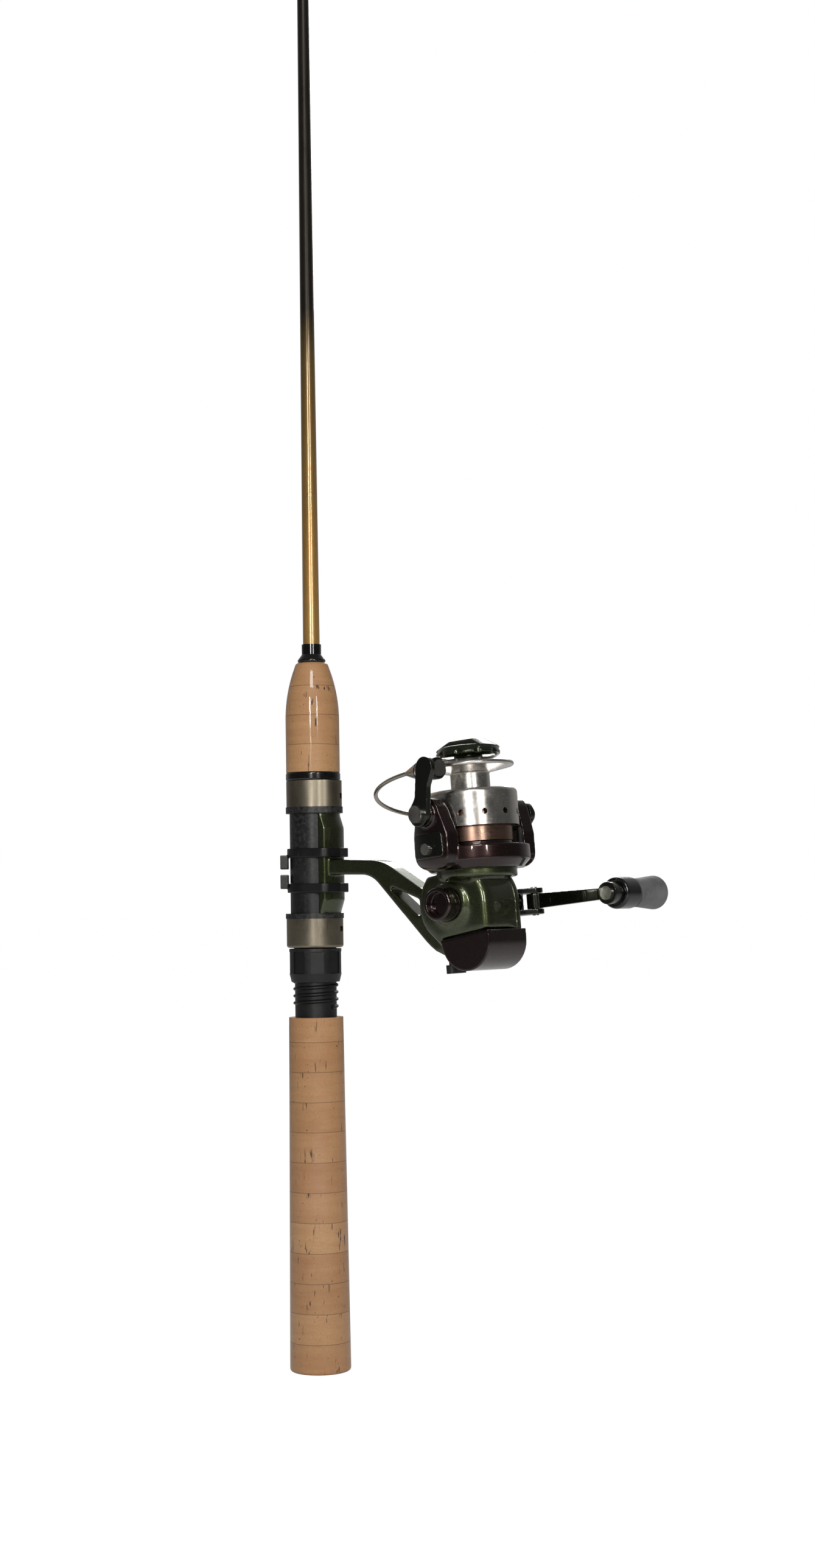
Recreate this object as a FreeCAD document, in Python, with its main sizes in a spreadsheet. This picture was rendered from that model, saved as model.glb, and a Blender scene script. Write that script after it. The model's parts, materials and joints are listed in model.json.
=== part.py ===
import FreeCAD, Part

import math
import os
import re

import Sketcher
from FreeCAD import Vector

# A short spinning rod with a cork handle, a screw-down reel seat and a small fixed-spool reel.
# World frame: origin at the centre of the butt's end face, +Z to the tip, +X to the side the reel
# hangs on and +Y to the crank's side. Reel pieces are drawn in the reel's own frame, whose origin is
# where the crank's axis passes the rotor's axis and whose Z is the rotor's axis. All sizes are
# millimetres and degrees.

SIZES = {
    # blank: a tapered stick from the butt to the tip
    "rod_length": 914.0, "blank_start": 5.0, "blank_r": 3.35, "taper_z": 292.0,
    "mid_z": 500.0, "mid_r": 2.55, "tip_r": 1.1,
    # handle
    "butt_r": 12.1, "grip_r": 10.8, "rear_end": 139.4, "butt_round": 1.3, "fore_start": 236.9,
    "fore_end": 281.0, "fore_r": 10.75, "nose_z": 258.0, "nose_bend": 60.0, "nose_round": 1.6,
    "check_r": 5.6, "check_neck": 3.9, "check_len": 7.4, "trim_len": 3.4, "trim_r": 10.9,
    # reel seat, its screw thread, lock nut and the two hoods
    "seat_r": 9.6, "thread_r": 9.0, "thread_root": 8.3, "thread_pitch": 2.8, "thread_len": 32.6,
    "neck_len": 3.1, "nut_low": 153.4, "nut_len": 13.2, "nut_r": 10.4, "nut_cone": 3.3,
    "nut_ribs": 8, "groove_half": 2.7, "groove_deep": 0.75,
    "screw_clear": 0.1, "hood_low": 167.0, "hood_len": 11.6, "hood_r": 11.3, "hood_clear": 0.15,
    "rim_len": 2.0, "rim_r": 11.6, "front_low": 220.5, "front_rim_len": 2.5, "front_r": 10.8,
    "bulge_r": 8.4, "bulge_x": 3.9,
    # the reel's foot, held by the hoods
    "foot_low": 172.5, "foot_high": 228.0, "foot_wide": 12.8, "foot_r": 12.2, "toe_r": 10.6,
    "toe_len": 8.5, "ramp_len": 5.0, "foot_gap": 0.05,
    # cable ties round the seat and the foot
    "tie_upper_z": 204.7, "tie_lower_z": 190.7, "tie_wide": 3.6, "tie_thick": 1.1,
    "tie_head": 5.6, "tie_angle": 218.0,
    # line guides
    "guide_count": 4, "guide_first": 600.0, "guide_last": 862.0, "guide_big": 6.0,
    "guide_small": 2.7, "guide_wire": 0.55, "ring_thick": 0.8, "ring_wide": 1.8, "wrap_thick": 0.35,
    "wrap_len": 16.0, "tip_tube": 11.0, "tip_wall": 0.45,
    # reel: where it hangs, and how its parts are turned about each other
    "reel_x": 81.9, "reel_z": 184.0, "reel_tilt": 4.5, "rotor_turn": -9.0,
    # gear housing
    "crank_x": -5.4, "case_r": 16.2, "tail_x": 0.4, "tail_z": -14.6, "tail_r": 10.4, "wall": 1.6,
    "case_left": -11.3, "case_seam": 8.0, "case_right": 12.0, "case_round": 3.2, "neck_r": 15.1,
    "neck_low": 9.0, "neck_top": 17.0, "shoulder_z": 11.4, "boss_r": 8.3, "boss_left": -13.6,
    "collar_right": 20.0, "collar_r": 6.6, "stem_half": 4.4, "trim_z": -12.0, "trim_proud": 0.6,
    # crank, its shaft and gear
    "shaft_r": 2.5, "fit": 0.04, "bearing_r": 5.0, "bearing_wide": 3.0, "gear_teeth": 52,
    "gear_in": 10.2, "gear_out": 12.4, "gear_top": 2.1, "tooth_deep": 0.75, "slot_wide": 0.9,
    "gear_back": 6.0, "pinion_teeth": 10, "pinion_tip": 2.59, "pinion_root": 1.7,
    "pinion_low": 9.8, "pinion_face": 3.0, "tooth_foot": 0.28, "tooth_tip": 0.15,
    "cap_r": 6.3, "cap_end": -20.3, "cap_recess": 4.7, "cap_deep": 3.0,
    "hub_r": 5.0, "hub_low": 20.6, "hub_top": 29.0, "fold_x": 7.2, "fold_y": 33.6,
    "ear_gap": 3.1, "ear_thick": 2.0, "crank_len": 42.1, "arm_thick": 2.4, "arm_root": 2.95,
    "arm_end": 2.1, "end_r": 4.3, "knob_low": 37.2, "knob_top": 66.6, "knob_core": 6.1,
    "knob_waist": 5.6, "knob_flare": 6.6, "knob_split": 48.6, "spindle_r": 1.5, "pin_r": 1.3,
    # spool crosswind: small gear on the shaft, large gear on a post, slider on the main shaft
    "cross_small": 12, "cross_large": 24, "cross_module": 0.6, "cross_left": -8.0,
    "cross_right": -5.0, "cross_x": -1.0, "post_r": 1.5, "stroke_r": 2.7, "slider_low": -14.0,
    "slider_tall": 5.0, "rail_x": 5.6, "rail_y": -1.0, "rail_r": 0.9, "main_r": 1.25,
    "main_low": -14.0, "main_top": 57.6,
    # anti-reverse: ratchet on the pinion, pawl on a cam rod, lever under the housing
    "ratchet_r": 6.0, "ratchet_teeth": 12, "ratchet_low": 17.4, "ratchet_thick": 1.5,
    "cam_x": -12.4, "cam_y": -4.2, "cam_r": 1.0, "lever_low": -25.8,
    # rotor
    "bowl_low": 12.2, "bowl_top": 20.8, "bowl_r": 17.5, "bowl_rim": 20.6, "bowl_in": 15.6,
    "web_low": 20.2, "web_top": 22.6, "sleeve_r": 14.6, "sleeve_in": 13.2, "sleeve_top": 34.2,
    "arm_in": 19.4, "arm_out": 25.0, "arm_round": 5.0, "foot_round": 6.0, "arm_half": 9.0, "arm_top_r": 6.2, "bail_z": 33.5,
    "cover_thick": 0.8, "pivot_r": 4.6, "pivot_out": 26.3,
    # bail
    "lever_in": 26.6, "lever_out": 28.9, "lever_r": 4.8, "lever_top_r": 4.4, "waist_r": 5.0, "roller_x": 5.2, "roller_h": 16.7,
    "roller_y": 22.7, "roller_r": 3.5, "roller_pin": 1.5, "roller_half": 3.0, "ear_r": 4.2,
    "cone_tip": -11.0, "wire_r": 0.8, "hoop_reach": 38.0, "hoop_drop": 3.0, "hoop_end_x": -3.5,
    "hoop_end_h": 2.5, "hoop_end_y": 27.9, "screw_head": 3.3, "screw_tall": 1.6,
    # spool and drag
    "skirt_low": 28.3, "skirt_r": 17.4, "skirt_wall": 0.8, "skirt_top": 42.4, "shoulder": 1.6,
    "arbor_r": 7.5, "arbor_wall": 1.0, "lip_low": 49.3, "lip_r": 17.05, "lip_top": 54.0,
    "skirt_holes": 12, "hole_r": 1.15, "hole_z": 33.2, "spool_hub": 3.2, "hub_low_z": 36.5,
    "stack_low": 46.0, "stack_top": 51.6, "drag_low": 55.2, "drag_top": 59.4, "drag_r": 12.4,
    "bar_top": 62.2, "bar_half": 5.6, "drag_scallops": 10, "scallop_r": 2.6,
}

doc = FreeCAD.newDocument("spinning_rod")
sheet = doc.addObject("Spreadsheet::Sheet", "sizes")
for row, (alias, number) in enumerate(SIZES.items(), start=1):
    sheet.set(f"A{row}", alias)
    sheet.set(f"B{row}", str(number))
    sheet.setAlias(f"B{row}", alias)
doc.recompute()

NODES = []


# ---------------------------------------------------------------- sizes and frames

def bind(text):
    """The expression with each size read from the sheet."""
    return re.sub(r"[a-z]\w*", lambda w: "sizes." + w.group() if w.group() in SIZES else w.group(), text)


def size(text):
    """The number that an expression gives now."""
    return float(sheet.evalExpression(bind(text)))


def drive(item, **sizes_of):
    """Binds properties of a document object to expressions."""
    for name, text in sizes_of.items():
        item.setExpression(name, bind(text))


def at(x="0", y="0", z="0", axis=(0, 0, 1), angle="0", within=None):
    """Expression of a placement, inside another frame if one is given."""
    turn = "rotation(vector({}; {}; {}); ({}) * 1 deg)".format(*axis, angle)
    text = f"placement(vector({x}; {y}; {z}); {turn})"
    return f"{within} * {text}" if within else text


def place(item, frame):
    if frame:
        item.setExpression("Placement", bind(frame))
    return item


def node(item, name, frame=None):
    """Keeps an object as a sub-part of its own."""
    item.Label = name
    NODES.append(place(item, frame))
    return item


REEL = at("reel_x", "0", "reel_z", (0, 1, 0), "-reel_tilt")
ROTOR = at(axis=(0, 0, 1), angle="rotor_turn", within=REEL)
# frames whose own z runs along the reel's Y, and whose own y runs down the rotor's axis
CRANK = at("crank_x", axis=(1, 0, 0), angle="-90", within=REEL)
PIVOT = at(z="bail_z", axis=(1, 0, 0), angle="-90", within=ROTOR)
FOLD = at("crank_x + fold_x", "fold_y", "0", within=REEL)
KNOB = at("crank_x + crank_len", axis=(1, 0, 0), angle="-90", within=REEL)
CROSS_Z = "-sqrt(((cross_small + cross_large) * cross_module / 2 + 0.12)^2 - (cross_x - crank_x)^2)"
CROSS = at("cross_x", "0", CROSS_Z, (1, 0, 0), "-90", REEL)


# ---------------------------------------------------------------- ways of making a piece

def trace(sketch, loop):
    """Draws one closed loop, anticlockwise, from its corners.

    A corner is (x, y) if it is sharp, or (x, y, radius) where the outline runs round a circle with
    that centre. A fourth value of -1 makes the outline pass the circle on its other side, as in a
    hollow. One corner alone is a full circle.
    """
    spots = [Vector(size(c[0]), size(c[1]), 0) for c in loop]
    radii = [size(c[2]) if len(c) > 2 else 0.0 for c in loop]
    turns = [c[3] if len(c) > 3 else 1 for c in loop]

    def hold(kind, item, point, text):
        index = sketch.addConstraint(Sketcher.Constraint(kind, -1, 1, item, point, size(text)))
        sketch.setExpression(f"Constraints[{index}]", bind(text))

    def hold_radius(item, text):
        index = sketch.addConstraint(Sketcher.Constraint("Radius", item, size(text)))
        sketch.setExpression(f"Constraints[{index}]", bind(text))

    if len(loop) == 1:
        item = sketch.addGeometry(Part.Circle(spots[0], Vector(0, 0, 1), radii[0]), False)
        hold("DistanceX", item, 3, loop[0][0])
        hold("DistanceY", item, 3, loop[0][1])
        hold_radius(item, loop[0][2])
        return

    count = len(loop)
    leave, arrive = [], []
    for i in range(count):
        j = (i + 1) % count
        run = spots[j] - spots[i]
        first, last = radii[i] * turns[i], radii[j] * turns[j]
        lean = (first - last) / run.Length
        ahead = run / run.Length
        normal = ahead * lean + Vector(ahead.y, -ahead.x, 0) * math.sqrt(1 - lean * lean)
        leave.append(spots[i] + normal * first)
        arrive.append(spots[j] + normal * last)

    arcs, lines = {}, []
    for i in range(count):
        if radii[i] > 0:
            begin, end = (arrive[i - 1], leave[i]) if turns[i] > 0 else (leave[i], arrive[i - 1])
            angles = [math.atan2(p.y - spots[i].y, p.x - spots[i].x) for p in (begin, end)]
            circle = Part.Circle(spots[i], Vector(0, 0, 1), radii[i])
            arcs[i] = sketch.addGeometry(Part.ArcOfCircle(circle, *angles), False)
        lines.append(sketch.addGeometry(Part.LineSegment(leave[i], arrive[i]), False))
    for i in range(count):
        before, after = lines[i - 1], lines[i]
        if i in arcs:
            enter, go = (1, 2) if turns[i] > 0 else (2, 1)
            sketch.addConstraint(Sketcher.Constraint("Tangent", before, 2, arcs[i], enter))
            sketch.addConstraint(Sketcher.Constraint("Tangent", arcs[i], go, after, 1))
            hold_radius(arcs[i], loop[i][2])
            item, point = arcs[i], 3
        else:
            sketch.addConstraint(Sketcher.Constraint("Coincident", before, 2, after, 1))
            item, point = after, 1
        hold("DistanceX", item, point, loop[i][0])
        hold("DistanceY", item, point, loop[i][1])


def sketch_on(body, plane, loops, level="0"):
    """A sketch on one of the body's own origin planes, moved out to `level` along its axis."""
    support = [f for f in body.Origin.OriginFeatures if f.Role == plane + "_Plane"][0]
    sketch = body.newObject("Sketcher::SketchObject", body.Name + "_sketch")
    sketch.AttachmentSupport = [(support, "")]
    sketch.MapMode = "FlatFace"
    sketch.setExpression("AttachmentOffset.Base.z", bind(f"-({level})" if plane == "XZ" else level))
    for loop in loops:
        trace(sketch, loop)
    return sketch


def pad(body, plane, loops, low, high):
    """Adds a straight prism between two levels along the plane's axis."""
    feature = body.newObject("PartDesign::Pad", body.Name + "_pad")
    feature.Profile = sketch_on(body, plane, loops, low)
    feature.Reversed = plane == "XZ"
    drive(feature, Length=f"({high}) - ({low})")
    return feature


def pocket(body, plane, loops, low, high):
    """Takes a straight prism away between two levels along the plane's axis."""
    feature = body.newObject("PartDesign::Pocket", body.Name + "_pocket")
    feature.Profile = sketch_on(body, plane, loops, low)
    feature.Reversed = plane != "XZ"
    drive(feature, Length=f"({high}) - ({low})")
    return feature


def revolve(body, loops, kind="PartDesign::Revolution"):
    """Turns (radius, z) loops round the body's Z axis: a Groove takes the ring away."""
    feature = body.newObject(kind, body.Name + "_turned")
    sketch = sketch_on(body, "XZ", loops)
    feature.Profile = sketch
    feature.ReferenceAxis = (sketch, ["V_Axis"])
    feature.Angle = 360
    return feature


def repeat(body, feature, count):
    """Repeats a feature evenly round the body's Z axis."""
    pattern = body.newObject("PartDesign::PolarPattern", body.Name + "_round")
    pattern.Originals = [feature]
    pattern.Axis = ([f for f in body.Origin.OriginFeatures if f.Role == "Z_Axis"][0], [""])
    pattern.Angle = 360
    drive(pattern, Occurrences=count)
    body.Tip = pattern
    return pattern


def new_body(name):
    return doc.addObject("PartDesign::Body", name)


def ring(low_r, high_r, low, high):
    """Loop of a plain ring's section, from its two radii and its two levels."""
    return [(low_r, low), (high_r, low), (high_r, high), (low_r, high)]


def turned(name, loops, frame=None):
    body = new_body(name)
    revolve(body, loops)
    return node(body, name, frame)


def cylinder(name, radius, tall, frame=None):
    item = doc.addObject("Part::Cylinder", name)
    drive(item, Radius=radius, Height=tall)
    return place(item, frame)


def block(name, x, y, z, frame=None):
    """A box between two levels on each axis, each pair given as (low, high)."""
    item = doc.addObject("Part::Box", name)
    sides = [f"({high}) - ({low})" for low, high in (x, y, z)]
    drive(item, Length=sides[0], Width=sides[1], Height=sides[2])
    return place(item, at(x[0], y[0], z[0], within=frame))


def cut(name, base, tool):
    item = doc.addObject("Part::Cut", name)
    item.Base, item.Tool = base, tool
    return item


def fuse(name, items):
    item = doc.addObject("Part::MultiFuse", name)
    item.Shapes = items
    return item


def common(name, items):
    item = doc.addObject("Part::MultiCommon", name)
    item.Shapes = items
    return item


def group(name, items):
    """Several separate solids kept as one sub-part."""
    item = doc.addObject("Part::Compound", name)
    item.Links = items
    return item


def soften(body, radius, wanted):
    """Rounds the edges of the body's last feature that `wanted` picks."""
    doc.recompute()
    base = body.Tip
    names = [f"Edge{i}" for i, edge in enumerate(base.Shape.Edges, start=1) if wanted(edge)]
    feature = body.newObject("PartDesign::Fillet", body.Name + "_round")
    feature.Base = (base, names)
    drive(feature, Radius=radius)
    return feature


def level_edges(axis, level):
    """Picks edges that lie wholly at one level of an axis of the body."""
    def wanted(edge):
        box = edge.BoundBox
        low, high = (getattr(box, axis + "Min"), getattr(box, axis + "Max"))
        return abs(low - size(level)) < 0.01 and abs(high - size(level)) < 0.01
    return wanted


# ---------------------------------------------------------------- rod and handle

def blank_radius(z):
    """Radius of the blank ahead of its middle."""
    return f"(mid_r + (tip_r - mid_r) * (({z}) - mid_z) / (rod_length - mid_z))"


def make_blank():
    turned("blank", [[("0", "blank_start"), ("blank_r", "blank_start"), ("blank_r", "taper_z"),
                      ("mid_r", "mid_z"), ("tip_r", "rod_length"), ("0", "rod_length")]])
    turned("winding_check", [[("blank_r", "fore_end"), ("check_r - 0.8", "fore_end + 0.8", "0.8"),
                              ("check_neck", "fore_end + check_len * 0.45"),
                              ("check_neck", "fore_end + check_len"),
                              ("blank_r", "fore_end + check_len")]])


def make_grips():
    turned("rear_grip", [[("0", "0"), ("butt_r - butt_round", "butt_round", "butt_round"),
                          ("grip_r", "rear_end"), ("blank_r", "rear_end"),
                          ("blank_r", "blank_start"), ("0", "blank_start")]])
    nose_x = ("fore_r - nose_bend + 0.05"
              " + sqrt((nose_bend - nose_round)^2 - (fore_end - nose_round - nose_z)^2)")
    turned("fore_grip", [[("blank_r", "fore_start"), ("fore_r", "fore_start"),
                          ("fore_r - nose_bend", "nose_z", "nose_bend"),
                          (nose_x, "fore_end - nose_round", "nose_round"),
                          ("blank_r", "fore_end")]])
    turned("trim_ring", [[("blank_r", "fore_start - trim_len"),
                          ("trim_r - 0.8", "fore_start - trim_len + 0.8", "0.8"),
                          ("trim_r - 0.8", "fore_start - 0.8", "0.8"), ("blank_r", "fore_start")]])


def make_seat():
    seat = new_body("seat_barrel")
    revolve(seat, [[("blank_r", "rear_end"), ("thread_root", "rear_end"),
                    ("thread_root", "rear_end + thread_len"), ("seat_r", "rear_end + thread_len"),
                    ("seat_r", "fore_start - trim_len"), ("blank_r", "fore_start - trim_len")]])
    ridge = seat.newObject("PartDesign::AdditiveHelix", "seat_thread")
    foot, crest = "thread_root - 0.05", "thread_r"
    start = "rear_end + neck_len"
    ridge.Profile = sketch_on(seat, "XZ", [[(foot, start), (crest, f"{start} + thread_pitch * 0.2"),
                                            (crest, f"{start} + thread_pitch * 0.4"),
                                            (foot, f"{start} + thread_pitch * 0.6")]])
    ridge.ReferenceAxis = (ridge.Profile[0], ["V_Axis"])
    ridge.Mode = 0
    drive(ridge, Pitch="thread_pitch", Height="thread_len - neck_len - thread_pitch")
    node(seat, "seat_barrel")

    nut = new_body("lock_nut")
    bore = "thread_r + screw_clear"
    revolve(nut, [[(bore, "nut_low"), (f"{bore} + 0.5", "nut_low"), ("nut_r", "nut_low + nut_cone"),
                   ("nut_r", "nut_low + nut_len"), (bore, "nut_low + nut_len")]])
    groove = pocket(nut, "XY", [[("nut_r - groove_deep", "-groove_half"), ("nut_r + 1", "-groove_half"),
                                 ("nut_r + 1", "groove_half"), ("nut_r - groove_deep", "groove_half")]],
                    "nut_low + nut_cone", "nut_low + nut_len - 1.2")
    repeat(nut, groove, "nut_ribs")
    node(nut, "lock_nut")


def sector(name, loops, extra="0"):
    """The part of a turned ring that lies over the foot's width, on the reel's side."""
    strip = block(name + "_strip", ("0", "foot_r + 10"),
                  (f"-foot_wide / 2 - {extra}", f"foot_wide / 2 + {extra}"), ("0", "rod_length / 2"))
    return common(name, [turned_tool(name + "_ring", loops), strip])


def foot_pocket(name, low, high):
    """The room that a hood leaves for one end of the foot."""
    return sector(name, [ring("seat_r - 1", "toe_r + 0.12", low, high)], "0.3")


def make_hoods():
    bore, top = "seat_r + hood_clear", "hood_low + hood_len"
    shell = new_body("hood_shell")
    revolve(shell, [[(bore, "hood_low"), ("hood_r - 1", "hood_low + 1", "1"), ("hood_r", top),
                     (bore, top)]])
    slots = block("hood_slot", ("0", "hood_r + 1"), ("2.2", "5.6"), ("hood_low + 6.4", "hood_low + 8.4"))
    room = foot_pocket("hood_room", "foot_low - 0.5", "foot_high")
    node(cut("hood_cut", shell, fuse("hood_tools", [slots, room])), "sliding_hood")
    rim = turned_tool("hood_rim_ring", [ring(bore, "rim_r", top, f"{top} + rim_len")])
    node(cut("hood_rim_cut", rim, foot_pocket("rim_room", "foot_low", "foot_high")), "sliding_hood_rim")

    low, high = "front_low + front_rim_len", "fore_start - trim_len"
    for name, floor, roof, grow in (("front_hood_rim", "front_low", low, "0.3"),
                                    ("front_hood", low, high, "0")):
        tall = f"({roof}) - ({floor})"
        drum = cylinder(name + "_drum", f"front_r + {grow}", tall, at(z=floor))
        bulge = cylinder(name + "_bulge", f"bulge_r + {grow}", tall, at("bulge_x", z=floor))
        tools = [cylinder(name + "_bore", "seat_r", f"{tall} + 2", at(z=f"{floor} - 1")),
                 foot_pocket(name + "_room", "front_low - 1", "foot_high + 0.3")]
        if name == "front_hood":
            tools.append(block("front_slot", ("0", "hood_r + 3"), ("2.2", "5.6"),
                               (f"{low} + 3.2", f"{low} + 5.4")))
        node(cut(name + "_cut", fuse(name + "_outer", [drum, bulge]), fuse(name + "_tools", tools)),
             name)


def turned_tool(name, loops):
    """A turned body that only serves in a boolean."""
    body = new_body(name)
    revolve(body, loops)
    return body


def make_ties():
    """Two straps round the seat and the foot, each with its square head."""
    straps = []
    corner = "2.7"
    for name, level, lift in (("tie_upper", "tie_upper_z", "-3.6"), ("tie_lower", "tie_lower_z", "2.6")):
        body = new_body(name)
        edge = "foot_wide / 2 - 1.8"

        def loop(grow):
            return [("0", "0", f"seat_r + 0.05 + {grow}"),
                    ("foot_r - 3.3", f"-({edge})", f"{corner} + {grow}"),
                    ("foot_r - 2.55", "0", f"{corner} + {grow}"),
                    ("foot_r - 3.3", edge, f"{corner} + {grow}")]

        pad(body, "XY", [loop("tie_thick"), loop("0")], f"{level} - tie_wide / 2",
            f"{level} + tie_wide / 2")
        spot = at(angle="tie_angle")
        head = block(name + "_head", ("seat_r + tie_thick * 0.6", "seat_r + tie_thick * 0.6 + 3.2"),
                     ("-tie_head / 2", "tie_head / 2"),
                     (f"{level} + {lift} - tie_head / 2", f"{level} + {lift} + tie_head / 2"), spot)
        straps += [body, head]
    node(fuse("ties", straps), "cable_ties")


def make_guides():
    """Line guides, each a ring on a bent foot, from the largest to the one nearest the tip."""
    wraps, races = [], []
    for number in range(1, int(SIZES["guide_count"]) + 1):
        share = f"({number} - 1) / (guide_count - 1)"
        z = f"(guide_first + (guide_last - guide_first) * sqrt({share}))"
        inner = f"(guide_big + (guide_small - guide_big) * sqrt({share}))"
        name = f"guide_{number}"
        base_len = f"({inner} * 1.1 + 8)"
        low_r = "(" + blank_radius(f"{z} - {base_len} * 0.55 - wrap_len * 1.1") + " + 0.02)"
        lift = f"({low_r} + {inner} + 4.2)"
        rim = cylinder(name + "_rim", f"{inner} + ring_thick + guide_wire", "ring_wide - 0.4",
                       at(lift, "0", f"{z} - ring_wide / 2 + 0.2"))
        hole = cylinder(name + "_hole", f"{inner} + ring_thick", "ring_wide + 2",
                        at(lift, "0", f"{z} - ring_wide / 2 - 1"))
        reach = f"({lift} - {low_r})"
        legs = []
        for side, sign in (("left", "-1"), ("right", "1")):
            # each leg leans back and out from the foot to the side of the ring
            out = f"({inner} + ring_thick) * 0.72"
            dx = f"({reach} - ({inner} + ring_thick) * 0.66)"
            length = f"sqrt(({dx})^2 + ({out})^2 + ({base_len} * 0.55)^2)"
            legs.append((side, sign, out, dx, length))
        start = Vector(size(low_r) + 0.45, 0, size(f"{z} - {base_len} * 0.55"))
        solids = []
        for side, sign, out, dx, length in legs:
            end = Vector(size(f"{low_r} + {dx}"), float(sign) * size(out), size(z))
            leg = Part.makeCylinder(size("guide_wire"), (end - start).Length, start, end - start)
            solids.append(leg)
        legs_item = doc.addObject("Part::Feature", name + "_legs")
        legs_item.Shape = solids[0].fuse(solids[1]).fuse(
            Part.makeSphere(size("guide_wire"), start))
        foot = block(name + "_foot", (low_r, f"{low_r} + 0.9"), ("-0.9", "0.9"),
                     (f"{z} - {base_len} * 0.55 - wrap_len * 0.6", f"{z} - {base_len} * 0.55 + 0.5"))
        frame_shape = fuse(name + "_solid", [rim, foot, legs_item])
        node(cut(name + "_frame", frame_shape, hole), name)
        race = new_body(name + "_ring")
        revolve(race, [[(inner, "-ring_wide / 2", ), (f"{inner} + ring_thick", "-ring_wide / 2"),
                        (f"{inner} + ring_thick", "ring_wide / 2"), (inner, "ring_wide / 2")]])
        races.append(place(race, at(lift, "0", z)))
        middle = f"({z} - {base_len} * 0.55 - wrap_len * 0.55 - 0.3)"
        body = new_body(name + "_wrap")
        pad(body, "XY", [[("0", "0", f"{low_r} + wrap_thick"), (f"{low_r} + 0.35", "-0.5", "0.85"),
                          (f"{low_r} + 0.35", "0.5", "0.85")]],
            f"{middle} - wrap_len / 2", f"{middle} + wrap_len / 2")
        tool = fuse(name + "_wrap_tools", [
            cylinder(name + "_wrap_bore", low_r, "wrap_len * 2", at(z=f"{middle} - wrap_len")),
            block(name + "_wrap_room", ("0", f"{low_r} + 0.9"), ("-0.9", "0.9"),
                  (f"{middle} - wrap_len", f"{middle} + wrap_len"))])
        wraps.append(cut(name + "_wrap_cut", body, tool))
    node(group("wraps", wraps), "guide_wraps")
    node(group("races", races), "guide_rings")

    sleeve = turned_tool("tip_sleeve", [ring("tip_r + 0.06", "tip_r + tip_wall",
                                             "rod_length - tip_tube", "rod_length")])
    plug = cylinder("tip_plug", "tip_r + tip_wall", "1.2", at(z="rod_length"))
    holder = at("2.4", "0", "rod_length + 1.9", (0, 1, 0), "-25")
    rim = cylinder("tip_rim", "guide_small + 0.3", "1.2", at(z="-0.6", within=holder))
    bore = cylinder("tip_bore", "guide_small - 0.3", "4", at(z="-2", within=holder))
    node(cut("tip_cut", fuse("tip_solid", [sleeve, plug, rim]), bore), "tip_top")
    turned("tip_ring", [ring("guide_small - 1", "guide_small - 0.3", "-0.8", "0.8")], holder)


# ---------------------------------------------------------------- reel housing

CASE = [("crank_x", "0", "case_r"), ("tail_x", "tail_z", "tail_r")]


def case_loop(inset="0"):
    """Side outline of the housing, moved in by a wall."""
    return [(x, z, f"{radius} - {inset}") for x, z, radius in CASE]


def neck_clearance(body):
    """Takes away what stands above the shoulder, outside the neck, where the rotor turns."""
    revolve(body, [ring("neck_r", "arm_out + 1.5", "shoulder_z", "neck_top + 8")],
            "PartDesign::Groove")


def case_hollow(name, low, high):
    """The room inside the housing: the gear box below the neck, and the gear's and pinion's room."""
    body = new_body(name + "_box")
    pad(body, "XZ", [case_loop("wall")], low, high)
    lid = block(name + "_lid", ("-40", "40"), ("-40", "40"), ("-40", "neck_low + 1.4"))
    gear_r = "sqrt(gear_out^2 + crank_x^2) + 0.4"
    wheel = cylinder(name + "_wheel", gear_r, "gear_back - gear_top + 1",
                     at("crank_x", "gear_top - 0.5", "0", (1, 0, 0), "-90"))
    neck = cylinder(name + "_neck", "pinion_tip + 0.8", "10", at(z="neck_top - 12"))
    return fuse(name, [common(name + "_low", [body, lid]), wheel, neck])


def trim_block(name, grow):
    """The lower rear corner of the housing, which a separate trim piece makes."""
    body = new_body(name)
    edge = "tail_r + trim_proud"
    pad(body, "XZ", [[("tail_x - tail_r - 1.3", "trim_z - 1.4"), ("tail_x", "tail_z", edge),
                      (f"tail_x + {edge}", "trim_z + 1.2")]],
        f"case_left - ({grow})", f"case_right + ({grow})")
    return place(body, REEL)


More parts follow.
